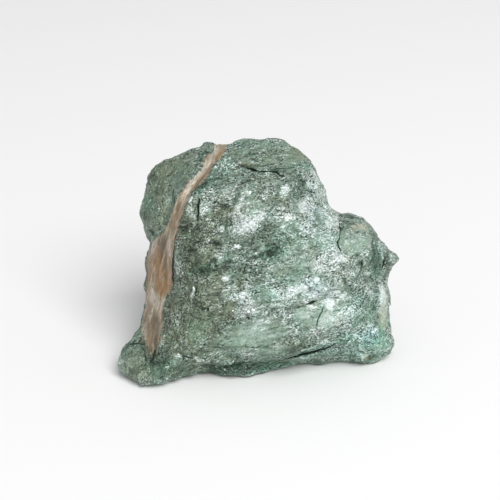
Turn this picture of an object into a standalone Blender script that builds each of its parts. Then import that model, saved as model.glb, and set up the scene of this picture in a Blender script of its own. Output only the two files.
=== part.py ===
"""A hand specimen of fuchsite: one broken piece of green mica schist with a tan feldspar vein.

World frame: +X runs across the broad face to the right, +Y runs from that face to the back and
+Z is up. The rock stands on a flat broken base. Its origin is the middle of the bottom of its
bounding box.

The broad face leans back from the upright, so the forms on it are set out in face coordinates:
across (to the right), up (along the lean) and depth (into the rock), all in millimetres.
"""

import math

import bmesh
import bpy
import numpy as np
from mathutils import Vector, noise
from mathutils.bvhtree import BVHTree

MM = 0.001
ROCK = "fuchsite_specimen"

LEAN = math.radians(25.0)
FACE_HEIGHT = 36.3  # height of the face coordinates' zero above the ground
FACE_AXES = np.array((
    (1.0, 0.0, 0.0),
    (0.0, math.sin(LEAN), math.cos(LEAN)),
    (0.0, math.cos(LEAN), -math.sin(LEAN)),
))
FACE_ZERO = np.array((0.0, 0.0, FACE_HEIGHT))

# Edge where the broad face turns over to the back, clockwise from the notch under the left lobe.
RIM = (
    # left lobe
    (-33.7, 5.0, 4.0), (-35.0, 9.0, 5.0), (-35.5, 14.0, 6.0), (-34.7, 17.5, 7.0),
    (-33.3, 22.0, 7.0), (-33.3, 25.8, 7.0), (-31.0, 28.2, 6.0), (-25.6, 29.8, 4.0),
    (-21.9, 31.3, 2.0), (-17.4, 32.8, 1.0), (-13.6, 34.8, 0.0),
    # crown
    (-10.9, 33.5, -1.0), (-8.3, 33.5, -1.0), (-4.8, 34.5, 0.0), (-2.9, 35.6, 0.0),
    (1.9, 35.4, 0.0), (7.2, 36.4, 0.0), (11.0, 36.0, 0.0), (13.2, 34.4, 0.0),
    # slope from the crown down to the shoulder
    (16.4, 32.0, 1.0), (18.4, 29.7, 2.0), (20.5, 26.4, 3.0), (23.2, 22.7, 3.0),
    (24.3, 19.4, 4.0), (25.0, 15.8, 4.0), (28.0, 12.5, 4.0),
    # shoulder and the small horn at its end
    (32.0, 11.7, 5.0), (36.4, 10.6, 5.0), (39.5, 7.4, 6.0), (42.2, 2.9, 6.0),
    (44.4, -0.2, 7.0), (47.6, -0.4, 9.0), (50.2, -3.1, 9.0), (47.4, -5.8, 9.0),
    # right side
    (45.3, -8.2, 8.0), (44.7, -11.2, 8.0), (46.2, -14.2, 8.0), (45.7, -17.7, 8.0),
    (46.1, -22.6, 8.0), (46.6, -28.1, 8.0), (47.1, -30.7, 8.0), (45.8, -33.3, 8.0),
    (41.9, -35.8, 8.0),
    # bottom edge
    (39.1, -37.2, 6.5), (34.3, -36.5, 7.5), (27.8, -36.4, 8.0), (22.1, -37.4, 6.0),
    (16.3, -37.3, 6.5), (11.3, -37.7, 4.0), (4.6, -38.7, 1.5), (0.5, -40.0, -1.0),
    (-6.4, -40.2, -1.5), (-12.2, -39.4, -1.0), (-16.0, -39.6, -1.5), (-20.4, -40.5, -2.5),
    (-26.3, -42.2, -5.5), (-34.4, -43.5, -7.5),
    # foot and left side
    (-36.2, -41.0, -5.0), (-40.8, -39.3, -2.0), (-43.3, -35.9, 0.0), (-39.9, -31.7, 1.0),
    (-37.1, -27.5, 2.0), (-35.2, -23.2, 2.0), (-34.2, -17.7, 2.0), (-33.8, -12.3, 3.0),
    (-33.5, -7.4, 3.0), (-34.4, -3.2, 3.0), (-33.0, 1.6, 3.0),
)
RIM_CENTRE = np.array((0.0, -4.0))
RIM_HALF_THICKNESS = 3.5
RIM_ROUNDING = 0.42  # part of the way from edge to middle over which the edge rounds off
BALL_SEGMENTS, BALL_RINGS = 200, 100

# Heights of the broad face, from its crest outwards.
FACE_POINTS = (
    # middle, from the front edge of the top slab down to the ledge over the base
    (3.5, 24.5, -16.0), (0.0, 18.5, -21.0), (0.0, 7.5, -24.5), (0.0, -6.0, -25.0),
    (0.0, -18.5, -19.5), (0.0, -30.0, -12.5), (0.0, -34.8, -9.0), (0.0, -36.6, -4.5),
    # upper left flank along the vein
    (-15.0, 26.5, -9.0), (-18.5, 19.5, -12.0), (-23.0, 12.5, -13.0), (-24.5, 4.5, -13.0),
    (-24.5, -4.5, -13.0), (-24.5, -11.0, -12.0), (-27.5, -15.5, -9.0), (-29.0, -24.0, -6.0),
    (-28.5, 16.0, -5.0),
    # lower left
    (-34.5, -34.5, -8.0), (-31.5, -31.5, -8.5), (-22.0, -25.0, -14.0), (-15.5, -31.0, -12.0),
    (-15.5, -35.0, -9.0), (-15.5, -36.8, -4.5), (-15.5, -15.5, -18.0), (-15.5, -4.5, -20.0),
    (-15.5, 4.5, -18.0),
    # right of the middle
    (15.5, 4.5, -22.0), (15.5, -25.0, -14.0), (15.5, -32.5, -9.0), (28.5, -25.0, -10.5),
    (38.5, -27.0, -3.5), (28.0, -15.5, -14.0), (38.0, -16.0, -6.0), (28.0, -4.5, -15.0),
    (38.5, -4.0, -6.0), (28.0, 4.5, -16.0), (38.5, 4.5, -8.0),
    # top right slope and shoulder
    (15.5, 22.0, -14.0), (18.5, 15.5, -13.0), (23.5, 11.0, -12.0), (30.0, 8.0, -9.0),
    (36.5, 7.0, -6.0), (33.0, 1.5, -12.0),
)

# Back and underside as x, y and height above the ground. The underside starts below the
# ground, and the flat base is cut from it there.
BACK_POINTS = (
    (-22.0, 22.0, 50.0), (2.0, 24.0, 58.0), (18.0, 22.0, 50.0), (-28.0, 25.0, 28.0),
    (0.0, 30.0, 34.0), (36.0, 20.0, 30.0), (-30.0, 22.0, 6.0), (0.0, 28.0, 8.0),
    (34.0, 24.0, 8.0), (-25.0, 20.0, -2.0), (0.0, 24.0, -2.0), (32.0, 20.0, -2.0),
    (-30.0, -8.0, -2.0), (0.0, -8.0, -2.0), (33.0, 0.0, -2.0),
)

# Flat fracture faces at the back: the way each one faces, and how much it takes off at most.
FRACTURES = (
    ((-0.70, 0.70, 0.05), 5.5),
    ((0.10, 1.00, 0.25), 3.5),
    ((0.75, 0.65, 0.00), 5.5),
    ((0.35, 0.75, 0.60), 5.0),
    ((-0.40, 0.75, 0.50), 6.0),
    ((0.15, 0.95, -0.30), 3.0),
)
FRACTURE_RIM_GAP = 0.8  # how far a fracture face stays from the rim

# The vein is a sheet that comes out as a stripe along the left flank and widens below it.
VEIN = (
    (-11.5, 35.5), (-13.7, 29.5), (-17.0, 24.0), (-20.5, 19.5), (-22.5, 17.0), (-24.3, 11.0),
    (-27.0, 5.0), (-35.0, 2.5), (-37.0, -10.0), (-37.0, -27.0), (-35.0, -31.0), (-32.5, -34.5),
    (-29.5, -30.0), (-28.5, -21.0), (-27.5, -15.5), (-24.6, -10.5), (-24.3, -1.0),
    (-23.0, 4.7), (-20.4, 12.2), (-18.3, 17.5), (-14.0, 21.8), (-10.7, 27.5), (-7.7, 35.5),
)
VEIN_DROP = 0.7  # the vein wears back this far below the schist beside it
VEIN_LIP = 1.0

# Flat faces on the front, as outlines in across and up.
FACETS = {
    "left lobe": (
        (-34.0, 6.5), (-34.0, 20.0), (-30.0, 26.0), (-22.0, 29.5), (-14.5, 32.5), (-16.5, 26.0),
        (-22.0, 19.0), (-25.0, 11.5), (-28.5, 5.0)),
    "top slab": (
        (-7.0, 32.0), (-2.0, 34.0), (9.0, 34.0), (16.0, 30.5), (16.5, 27.5), (11.5, 26.0),
        (6.5, 25.0), (-1.0, 26.0), (-7.0, 26.5)),
    "shoulder": (
        (28.5, 10.5), (35.5, 9.0), (40.5, 1.5), (38.0, -2.0), (31.0, -2.0), (28.0, 1.5)),
    "right flank": (
        (39.5, -1.0), (42.5, -3.0), (42.5, -12.0), (43.5, -24.0), (42.0, -32.0), (37.5, -30.0),
        (36.5, -18.0), (37.5, -7.0)),
    "foot": (
        (-40.0, -35.5), (-36.5, -31.5), (-31.0, -34.0), (-24.0, -38.5), (-33.0, -41.0)),
    "apron": (
        (-8.0, -22.0), (4.0, -20.5), (14.0, -22.5), (14.0, -26.5), (4.0, -29.0), (-8.0, -30.0)),
}
FACET_STRENGTH = 0.8
FACET_BLEND = 1.6

# Ledges on the front, as across and up from left to right: the rock below each line steps back
# by the drop, and comes forward again over the reach.
LEDGES = {
    "top slab ledge": (
        ((-6.0, 26.0), (-0.7, 25.4), (3.8, 24.0), (8.9, 25.0), (14.3, 26.2), (18.2, 27.7)), 1.7, 9.0),
    "bottom lip": (
        ((-19.0, -38.6), (-15.2, -36.8), (-12.5, -36.2), (-7.9, -36.4), (-2.5, -35.2), (3.2, -35.0),
         (9.7, -34.7), (15.3, -33.3), (20.3, -32.1), (24.9, -30.7), (29.9, -27.7)), 1.6, 6.0),
    "lower wave": (
        ((-8.2, -30.8), (-3.4, -30.2), (0.5, -30.5), (4.8, -29.1), (10.4, -27.5), (14.0, -26.9),
         (16.8, -28.8), (18.4, -30.1)), 0.7, 3.5),
    "right wave": (
        ((10.0, -19.4), (12.5, -18.2), (16.6, -17.0), (20.0, -15.6), (24.1, -14.9), (29.0, -12.0)),
        1.3, 7.0),
    "dark band": (
        ((-21.5, -9.8), (-16.2, -7.0), (-10.7, -4.9), (-3.2, -5.8), (2.4, -1.7), (7.6, 0.0),
         (13.0, 3.5)), 1.2, 8.0),
    "brow": (
        ((-12.0, 8.5), (-7.0, 9.5), (-1.0, 13.0), (5.0, 12.0), (11.0, 15.5)), 0.9, 7.0),
    "apron top": (
        ((-15.0, -21.5), (-9.0, -19.5), (-2.0, -19.0), (5.0, -21.0), (11.0, -23.0)), 0.9, 6.0),
}
LEDGE_EDGE = 0.7

FOLIATION = np.array((0.06, -0.20, 0.98))  # across the mica layers, in face coordinates
LAYER = 2.7
LAYER_STRENGTH = 0.62
LAYER_SHARPNESS = 2.6
LAYER_WANDER = 2.2  # how far the ledges wander off a true plane
LAYER_WANDER_SIZE = 10.0
LAYER_STRAY = 1.1
LAYER_STRAY_SIZE = 4.0
LAYER_PATCH_SIZE = 13.0  # the ledges come and go in patches of this size
LAYER_PATCH_EDGE = 1.3
SIDE_RIDGE = 0.5  # the layers' ends show as ridges round the sides
SIDE_RIDGE_SIZE = np.array((14.0, 14.0, 2.4))
LUMP, LUMP_SIZE = 0.8, 9.0
KNOB, KNOB_SIZE = 0.42, 4.2
# Where each kind of unevenness is read from the noise. Another seed gives another stone.
WANDER_SEED, STRAY_SEED, PATCH_SEED, LUMP_SEED, KNOB_SEED = 3.0, 7.0, 17.0, 11.0, 23.0

SKIN_STEP = 0.95  # grid of the skin before it is thinned out
SKIN_EASE = 0.5
TRIANGLES = 7600

# Open cracks as across, up and width at each point, then the depth of the crack.
CRACKS = {
    "bottom ledge crack": (
        ((9.7, -34.7, 0.3), (12.5, -34.1, 0.8), (15.3, -33.3, 1.2), (17.9, -32.4, 1.7),
         (20.3, -32.1, 1.9), (22.7, -31.3, 1.6), (24.9, -30.7, 1.1), (27.0, -29.4, 0.3)), 3.6),
    "shoulder crack": (
        ((28.2, 9.6, 0.4), (28.3, 6.0, 0.9), (27.8, 3.9, 1.0), (27.0, 2.2, 1.0),
         (27.3, -0.2, 1.0), (28.6, -1.8, 0.9), (31.2, -2.6, 0.8), (33.6, -2.8, 0.3)), 2.6),
    "slab crack": (
        ((-0.7, 25.4, 0.3), (1.2, 24.9, 0.9), (3.8, 24.2, 0.4), (8.0, 24.0, 0.4),
         (9.8, 22.9, 0.5), (11.2, 22.6, 0.3)), 2.4),
    "lower right crack": (
        ((22.9, -17.8, 0.3), (22.2, -19.2, 0.8), (21.2, -21.2, 0.8), (20.5, -23.6, 0.3)), 2.0),
    "left lobe crack": (
        ((-15.6, 15.7, 0.3), (-15.8, 13.5, 0.8), (-15.6, 11.0, 0.3)), 1.8),
}
CUTTER_CLEARANCE = 2.5  # how far a crack's cutter stands out of the rock
IN_FRONT = -100.0  # depth of a place well in front of the rock

SCHIST_GREEN = (0.24, 0.30, 0.25)
SCHIST_ROUGHNESS = 0.55


def face_to_world(points):
    return np.asarray(points, float) @ FACE_AXES + FACE_ZERO


def world_to_face(points):
    return (np.asarray(points, float) - FACE_ZERO) @ FACE_AXES.T


def clear_scene():
    for thing in list(bpy.data.objects):
        bpy.data.objects.remove(thing, do_unlink=True)


def new_collection(name):
    collection = bpy.data.collections.new(name)
    bpy.context.scene.collection.children.link(collection)
    return collection


def stone_material(name, colour, roughness):
    material = bpy.data.materials.new(name)
    material.use_nodes = True
    shader = material.node_tree.nodes["Principled BSDF"]
    shader.inputs["Base Color"].default_value = (*colour, 1.0)
    shader.inputs["Roughness"].default_value = roughness
    shader.inputs["Metallic"].default_value = 0.0
    material.diffuse_color = (*colour, 1.0)
    return material


def coordinates(mesh):
    """Vertex positions in mm."""
    flat = np.empty(len(mesh.vertices) * 3)
    mesh.vertices.foreach_get("co", flat)
    return flat.reshape(-1, 3) / MM


def set_coordinates(mesh, points):
    mesh.vertices.foreach_set("co", (np.asarray(points) * MM).ravel())
    mesh.update()


def normals(mesh):
    flat = np.empty(len(mesh.vertices) * 3)
    mesh.vertex_normals.foreach_get("vector", flat)
    return flat.reshape(-1, 3)


def settle(rock):
    """Puts the result of the modifiers in place of the mesh."""
    graph = bpy.context.evaluated_depsgraph_get()
    shaped = bpy.data.meshes.new_from_object(rock.evaluated_get(graph))
    old = rock.data
    rock.modifiers.clear()
    rock.data = shaped
    bpy.data.meshes.remove(old)
    shaped.name = rock.name


def bent_plate(points):
    """Depth, as a function of across and up, of a thin springy plate that passes through points."""
    points = np.asarray(points, float)
    spots = points[:, :2]
    count = len(points)

    def bend(a, b):
        gap = ((a[:, None, :] - b[None, :, :]) ** 2).sum(axis=2)
        return gap * np.log(gap + 1e-9)

    system = np.zeros((count + 3, count + 3))
    system[:count, :count] = bend(spots, spots)
    system[:count, count] = 1.0
    system[:count, count + 1:] = spots
    system[count:, :count] = system[:count, count:].T
    pull = np.linalg.solve(system, np.append(points[:, 2], (0.0, 0.0, 0.0)))

    def depth(where):
        return bend(where, spots) @ pull[:count] + pull[count] + where @ pull[count + 1:]

    return depth


def rim_at(angle):
    """Reach from the rim's centre, and depth, of the rim in each direction."""
    rim = np.asarray(RIM, float)
    out = rim[:, :2] - RIM_CENTRE
    rim_angle = np.arctan2(out[:, 1], out[:, 0])
    order = np.argsort(rim_angle)
    reach = np.hypot(out[:, 0], out[:, 1])
    turn = 2 * math.pi
    return (
        np.interp(angle, rim_angle[order], reach[order], period=turn),
        np.interp(angle, rim_angle[order], rim[order, 2], period=turn),
    )


def rim_moved(by):
    """The rim's points with by added to their depth."""
    rim = np.asarray(RIM, float)
    rim[:, 2] += by
    return rim


def add_rock(collection, material):
    """A ball whose front half is bent to the broad face, and whose other half is bent to the back."""
    mesh = bpy.data.meshes.new(ROCK)
    shape = bmesh.new()
    bmesh.ops.create_uvsphere(shape, u_segments=BALL_SEGMENTS, v_segments=BALL_RINGS, radius=1.0)
    shape.to_mesh(mesh)
    shape.free()
    ball = np.empty(len(mesh.vertices) * 3)
    mesh.vertices.foreach_get("co", ball)
    ball = ball.reshape(-1, 3)

    angle = np.arctan2(ball[:, 1], ball[:, 0])
    reach, edge = rim_at(angle)
    out = np.hypot(ball[:, 0], ball[:, 1]) * reach
    spot = RIM_CENTRE + out[:, None] * np.stack((np.cos(angle), np.sin(angle)), axis=1)
    face = bent_plate(np.concatenate((rim_moved(-RIM_HALF_THICKNESS), FACE_POINTS)))
    back_points = world_to_face(BACK_POINTS)
    back = bent_plate(np.concatenate((rim_moved(RIM_HALF_THICKNESS), back_points)))
    sheet = np.where(ball[:, 2] > 0, face(spot), back(spot))
    turned = np.minimum(np.abs(ball[:, 2]) / RIM_ROUNDING, 1.0)
    depth = edge + (sheet - edge) * np.sin(turned * math.pi / 2)
    set_coordinates(mesh, face_to_world(np.column_stack((spot, depth))))
    mesh.materials.append(material)

    rock = bpy.data.objects.new(ROCK, mesh)
    collection.objects.link(rock)
    face_outward(rock)
    return rock


def face_outward(rock):
    shape = bmesh.new()
    shape.from_mesh(rock.data)
    bmesh.ops.recalc_face_normals(shape, faces=shape.faces)
    shape.to_mesh(rock.data)
    shape.free()


def even_skin(rock):
    """Gives the rock an even skin of small squares, and takes the stiff creases out of it."""
    skin = rock.modifiers.new("Even skin", "REMESH")
    skin.mode = "VOXEL"
    skin.voxel_size = SKIN_STEP * MM
    ease = rock.modifiers.new("Ease", "SMOOTH")
    ease.factor = SKIN_EASE
    ease.iterations = 1
    settle(rock)


def break_flat(rock):
    """Breaks the back off to flat fracture faces, up to near the rim at most."""
    points = coordinates(rock.data)
    rim = face_to_world(RIM)
    for facing, taken in FRACTURES:
        way = np.array(facing) / np.linalg.norm(facing)
        height = points @ way
        limit = max(height.max() - taken, (rim @ way).max() + FRACTURE_RIM_GAP)
        points -= np.maximum(height - limit, 0.0)[:, None] * way
    set_coordinates(rock.data, points)


def on_front(rock):
    """True for each vertex of the skin that faces out of the broad face."""
    return normals(rock.data) @ FACE_AXES[2] < 0


def flatten_facets(rock):
    """Pulls each facet on the front towards the flat plane that fits it best."""
    inner = world_to_face(coordinates(rock.data))
    front = on_front(rock)
    for outline in FACETS.values():
        inward = distance_in(outline, inner[:, :2])
        held = front & (inward > 0)
        level = np.column_stack((inner[held, :2], np.ones(held.sum())))
        plane = np.linalg.lstsq(level, inner[held, 2], rcond=None)[0]
        part = FACET_STRENGTH * np.clip(inward[held] / FACET_BLEND, 0.0, 1.0)
        inner[held, 2] += part * (level @ plane - inner[held, 2])
    set_coordinates(rock.data, face_to_world(inner))


def side_of_line(path, spots):
    """Distance of each spot from a line of points, positive below it, and how far along it is."""
    path = np.asarray(path, float)
    nearest = np.full(len(spots), np.inf)
    signed = np.zeros(len(spots))
    place = np.zeros(len(spots))
    steps = len(path) - 1
    for index, (start, end) in enumerate(zip(path, path[1:])):
        along = end - start
        part = np.clip((spots - start) @ along / (along @ along), 0.0, 1.0)
        gap = spots - start - part[:, None] * along
        reach = np.hypot(gap[:, 0], gap[:, 1])
        closer = reach < nearest
        below = np.where(along[0] * gap[:, 1] - along[1] * gap[:, 0] < 0, 1.0, -1.0)
        nearest[closer] = reach[closer]
        signed[closer] = (reach * below)[closer]
        place[closer] = ((index + part) / steps)[closer]
    return signed, place


def step_ledges(rock):
    """Steps the front back below each ledge."""
    inner = world_to_face(coordinates(rock.data))
    front = on_front(rock)
    for path, drop, reach in LEDGES.values():
        below, place = side_of_line(path, inner[:, :2])
        rise = np.clip(below / LEDGE_EDGE + 0.5, 0.0, 1.0)
        fall = np.clip(1.0 - below / reach, 0.0, 1.0) ** 2
        taper = np.sqrt(np.maximum(np.sin(math.pi * place), 0.0))
        inner[front, 2] += (drop * rise * fall * taper)[front]
    set_coordinates(rock.data, face_to_world(inner))


def wander(points, size, seed):
    """Smooth noise at each point, about -1 to 1, with hollows and lumps of this size."""
    shift = Vector((seed, -seed, 0.5 * seed))
    return np.array([noise.fractal(Vector(p) / size + shift, 0.8, 2.0, 2) for p in points])


def tread_and_riser(height):
    """Turns an even slope into flat treads with steep risers between them."""
    whole = np.floor(height)
    part = np.clip((height - whole - 0.5) * LAYER_SHARPNESS + 0.5, 0.0, 1.0)
    return whole + part * part * (3.0 - 2.0 * part)


def layer(rock):
    """Breaks the skin into ledges along the mica layers, then roughens it with lumps and knobs."""
    points = coordinates(rock.data)
    outward = normals(rock.data)
    inner = world_to_face(points)
    stray = LAYER_WANDER * wander(points, LAYER_WANDER_SIZE, WANDER_SEED)
    stray += LAYER_STRAY * wander(points, LAYER_STRAY_SIZE, STRAY_SEED)
    height = (inner @ FOLIATION + stray) / LAYER
    patch = np.clip(0.5 + LAYER_PATCH_EDGE * wander(points, LAYER_PATCH_SIZE, PATCH_SEED), 0.0, 1.0)
    inner[:, 2] += LAYER_STRENGTH * patch * LAYER * (tread_and_riser(height) - height)
    points = face_to_world(inner)

    side = 1.0 - np.abs(outward @ (FOLIATION @ FACE_AXES))
    edge_on = np.column_stack((inner[:, :2], height * LAYER)) / SIDE_RIDGE_SIZE
    ridges = np.array([noise.noise(Vector(p)) for p in edge_on])
    push = SIDE_RIDGE * side * ridges
    push += LUMP * wander(points, LUMP_SIZE, LUMP_SEED)
    push += KNOB * wander(points, KNOB_SIZE, KNOB_SEED)
    set_coordinates(rock.data, points + push[:, None] * outward)


def distance_in(outline, spots):
    """Distance of each spot from a closed outline, positive inside it."""
    outline = np.asarray(outline, float)
    nearest = np.full(len(spots), np.inf)
    inside = np.zeros(len(spots), bool)
    for start, end in zip(outline, np.roll(outline, -1, axis=0)):
        along = end - start
        part = np.clip((spots - start) @ along / (along @ along), 0.0, 1.0)
        gap = spots - start - part[:, None] * along
        nearest = np.minimum(nearest, np.hypot(gap[:, 0], gap[:, 1]))
        crosses = (start[1] > spots[:, 1]) != (end[1] > spots[:, 1])
        rise = along[1] if along[1] else 1e-9
        inside ^= crosses & (spots[:, 0] < start[0] + (spots[:, 1] - start[1]) * along[0] / rise)
    return np.where(inside, nearest, -nearest)


def wear_vein(rock):
    """Wears the vein back a little below the schist on the front of the rock."""
    points = coordinates(rock.data)
    outward = normals(rock.data)
    inner = world_to_face(points)
    inward = distance_in(VEIN, inner[:, :2])
    part = np.clip(inward / VEIN_LIP, 0.0, 1.0)
    part[outward @ FACE_AXES[2] > 0] = 0.0
    set_coordinates(rock.data, points - (VEIN_DROP * part)[:, None] * outward)


def thin_out(rock):
    """Leaves only the triangles that the shape needs."""
    triangles = 2 * len(rock.data.polygons)
    thin = rock.modifiers.new("Thin out", "DECIMATE")
    thin.ratio = TRIANGLES / triangles
    thin.use_collapse_triangulate = True
    settle(rock)


def face_depth(rock):
    """A function that gives the depth of the broad face at across and up."""
    points = [Vector(p) for p in world_to_face(coordinates(rock.data))]
    tree = BVHTree.FromPolygons(points, [list(f.vertices) for f in rock.data.polygons])

    def depth(across, up):
        hit = tree.ray_cast(Vector((across, up, IN_FRONT)), Vector((0.0, 0.0, 1.0)))
        return hit[0].z

    return depth


def add_crack_cutter(name, path, deep, depth, collection):
    """A wedge along the path. It stands out of the rock and comes to an edge inside it."""
    shape = bmesh.new()
    rings = []
    for index, (across, up, width) in enumerate(path):
        before = Vector(path[max(index - 1, 0)][:2])
        after = Vector(path[min(index + 1, len(path) - 1)][:2])
        aside = (after - before).orthogonal().normalized() * width / 2
        skin = depth(across, up)
        flare = 1 + CUTTER_CLEARANCE / deep
        section = (
            (across - aside.x * flare, up - aside.y * flare, skin - CUTTER_CLEARANCE),
            (across + aside.x * flare, up + aside.y * flare, skin - CUTTER_CLEARANCE),
            (across, up, skin + deep * min(1.0, width)),
        )
        rings.append([shape.verts.new(p) for p in face_to_world(section) * MM])
    for ring, following in zip(rings, rings[1:]):
        for side in range(3):
            nearby = (side + 1) % 3
            shape.faces.new((ring[side], ring[nearby], following[nearby], following[side]))
    shape.faces.new(rings[0])
    shape.faces.new(rings[-1])
    bmesh.ops.recalc_face_normals(shape, faces=shape.faces)
    mesh = bpy.data.meshes.new(name)
    shape.to_mesh(mesh)
    shape.free()
    cutter = bpy.data.objects.new(name, mesh)
    cutter.display_type = "WIRE"
    cutter.hide_render = True
    collection.objects.link(cutter)
    return cutter


def open_cracks(rock, collection):
    depth = face_depth(rock)
    for name, (path, deep) in CRACKS.items():
        cutter = add_crack_cutter(name, path, deep, depth, collection)
        cut = rock.modifiers.new(name, "BOOLEAN")
        cut.operation = "DIFFERENCE"
        cut.solver = "EXACT"
        cut.object = cutter
    settle(rock)


def cut_base(rock):
    """Cuts the flat base on the ground."""
    shape = bmesh.new()
    shape.from_mesh(rock.data)
    everything = shape.verts[:] + shape.edges[:] + shape.faces[:]
    cut = bmesh.ops.bisect_plane(
        shape, geom=everything, plane_co=(0, 0, 0), plane_no=(0, 0, -1), clear_outer=True)
    ring = [piece for piece in cut["geom_cut"] if isinstance(piece, bmesh.types.BMEdge)]
    bmesh.ops.holes_fill(shape, edges=ring, sides=0)
    bmesh.ops.triangulate(shape, faces=shape.faces, ngon_method="BEAUTY")
    bmesh.ops.recalc_face_normals(shape, faces=shape.faces)
    shape.to_mesh(rock.data)
    shape.free()


def stand_on_origin(rock):
    """Moves the rock so that the middle of the bottom of its bounding box is the origin."""
    points = coordinates(rock.data)
    low = points.min(axis=0)
    high = points.max(axis=0)
    set_coordinates(rock.data, points - ((low[0] + high[0]) / 2, (low[1] + high[1]) / 2, low[2]))


def build():
    clear_scene()
    specimen = new_collection("fuchsite specimen")
    cutters = new_collection("crack cutters")
    cutters.hide_render = True
    schist = stone_material("fuchsite_schist", SCHIST_GREEN, SCHIST_ROUGHNESS)
    rock = add_rock(specimen, schist)
    even_skin(rock)
    break_flat(rock)
    flatten_facets(rock)
    step_ledges(rock)
    layer(rock)
    wear_vein(rock)
    thin_out(rock)
    open_cracks(rock, cutters)
    cut_base(rock)
    stand_on_origin(rock)


build()
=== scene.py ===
# %% [markdown]
# # A fuchsite specimen
# Fuchsite is a mica that a little chromium turns green. This hand specimen is a broken lump of
# the rock it makes, a schist: thousands of thin mica flakes lie in layers, nearly parallel to
# the broad face. Where a flake lies flat to the light it is silvery, and where the layers are
# broken across they look matte and green. A thin tan vein of feldspar crosses the left side.
#
# The imported solid already has the rock's form. This script gives it the skin of the stone.

# %% The frame, and the imported solid
import math

import bpy
import numpy as np
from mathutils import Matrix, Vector, noise


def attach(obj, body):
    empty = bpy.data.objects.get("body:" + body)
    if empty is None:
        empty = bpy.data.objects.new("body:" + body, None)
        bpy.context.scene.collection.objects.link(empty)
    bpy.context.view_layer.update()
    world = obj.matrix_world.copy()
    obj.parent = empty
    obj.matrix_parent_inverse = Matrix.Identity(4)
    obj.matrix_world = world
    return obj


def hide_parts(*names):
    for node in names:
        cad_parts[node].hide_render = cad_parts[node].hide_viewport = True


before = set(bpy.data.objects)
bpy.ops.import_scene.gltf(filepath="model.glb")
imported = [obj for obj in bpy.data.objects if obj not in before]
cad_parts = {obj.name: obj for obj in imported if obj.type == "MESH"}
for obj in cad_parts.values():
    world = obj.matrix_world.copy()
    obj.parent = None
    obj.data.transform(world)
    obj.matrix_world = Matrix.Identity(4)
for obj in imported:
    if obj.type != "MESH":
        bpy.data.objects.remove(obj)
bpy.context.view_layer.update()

NODE = "fuchsite_specimen"
MM = 0.001

# %% [markdown]
# ## Face coordinates
# The broad face leans back from the upright, and everything seen on it is laid out there: the
# vein, the cracks, the silvery patches. So places are written as *across* (to the right), *up*
# (along the lean) and *out* (towards the viewer), in millimetres from one point behind the
# middle of the face. They could be written in world coordinates too, but then each mark would
# have to be worked out on a slope.

# %% Face coordinates
LEAN = math.radians(25.0)
FACE_ZERO = np.array((-3.3, -5.3, 36.3))
FACE_AXES = np.array((
    (1.0, 0.0, 0.0),
    (0.0, math.sin(LEAN), math.cos(LEAN)),
    (0.0, -math.cos(LEAN), math.sin(LEAN)),
))


def to_face(points):
    return (points - FACE_ZERO) @ FACE_AXES.T


print("the face's zero is at", FACE_ZERO, "mm")

# %% [markdown]
# ## A copy to carve
# A stone has no seams to extrude or bevel along, so it isn't modelled from a primitive. The
# solid's own mesh is copied, its loose triangles are merged, and the Remesh modifier gives it an
# even skin of small squares, fine enough to hold ledges less than a millimetre high.

# %% A copy to carve
SKIN_STEP = 0.47


def select_only(thing):
    bpy.ops.object.select_all(action="DESELECT")
    thing.select_set(True)
    bpy.context.view_layer.objects.active = thing


def apply_all(thing):
    select_only(thing)
    for modifier in list(thing.modifiers):
        bpy.ops.object.modifier_apply(modifier=modifier.name)


def copy_of_node(name, new_name):
    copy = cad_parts[name].copy()
    copy.data = copy.data.copy()
    copy.name = copy.data.name = new_name
    copy.parent = None
    bpy.context.scene.collection.objects.link(copy)
    copy.data.materials.clear()
    select_only(copy)
    bpy.ops.object.mode_set(mode="EDIT")
    bpy.ops.mesh.select_all(action="SELECT")
    bpy.ops.mesh.remove_doubles(threshold=1e-6)
    bpy.ops.object.mode_set(mode="OBJECT")
    return copy


rock = copy_of_node(NODE, "fuchsite_rock")
skin = rock.modifiers.new("Skin", "REMESH")
skin.mode = "VOXEL"
skin.voxel_size = SKIN_STEP * MM
ease = rock.modifiers.new("Ease", "SMOOTH")
ease.factor = 0.5
ease.iterations = 2
apply_all(rock)
print("skin:", len(rock.data.vertices), "vertices")

# %% [markdown]
# ## Reading and moving the skin
# Marks on a stone follow no edge loop, so they are carved by moving vertices in code, the way a
# sculptor's brush would. These helpers read the skin as arrays and write it back.

# %% Reading and moving the skin


def read(items, field, columns, kind=float):
    """One field of every item as an array with a row for each."""
    flat = np.empty(len(items) * columns, kind)
    items.foreach_get(field, flat)
    return flat.reshape(-1, columns)


def skin_points():
    return read(rock.data.vertices, "co", 3) / MM


def skin_normals():
    return read(rock.data.vertex_normals, "vector", 3)


def skin_edges():
    return read(rock.data.edges, "vertices", 2, int)


def move_skin(points):
    rock.data.vertices.foreach_set("co", (points * MM).ravel())
    rock.data.update()


def relax(values, edges, times):
    """Values averaged with their neighbours over and over."""
    ends = np.concatenate((edges[:, 0], edges[:, 1]))
    others = np.concatenate((edges[:, 1], edges[:, 0]))
    count = np.bincount(ends, minlength=len(values))
    for _ in range(times):
        total = np.column_stack([
            np.bincount(ends, weights=column[others], minlength=len(values))
            for column in values.T])
        values = 0.5 * values + 0.5 * total / count[:, None]
    return values


def rough(points, size, seed, octaves=2):
    """Smooth noise at each point, about -1 to 1. Size is in mm, one number or one for each axis."""
    scaled = points / np.asarray(size, float) + seed
    return np.array([noise.fractal(p, 0.8, 2.0, octaves) for p in scaled])


def ease_step(value, low, high):
    part = np.clip((value - low) / (high - low), 0.0, 1.0)
    return part * part * (3.0 - 2.0 * part)


print("the skin has", len(skin_edges()), "edges")

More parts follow.
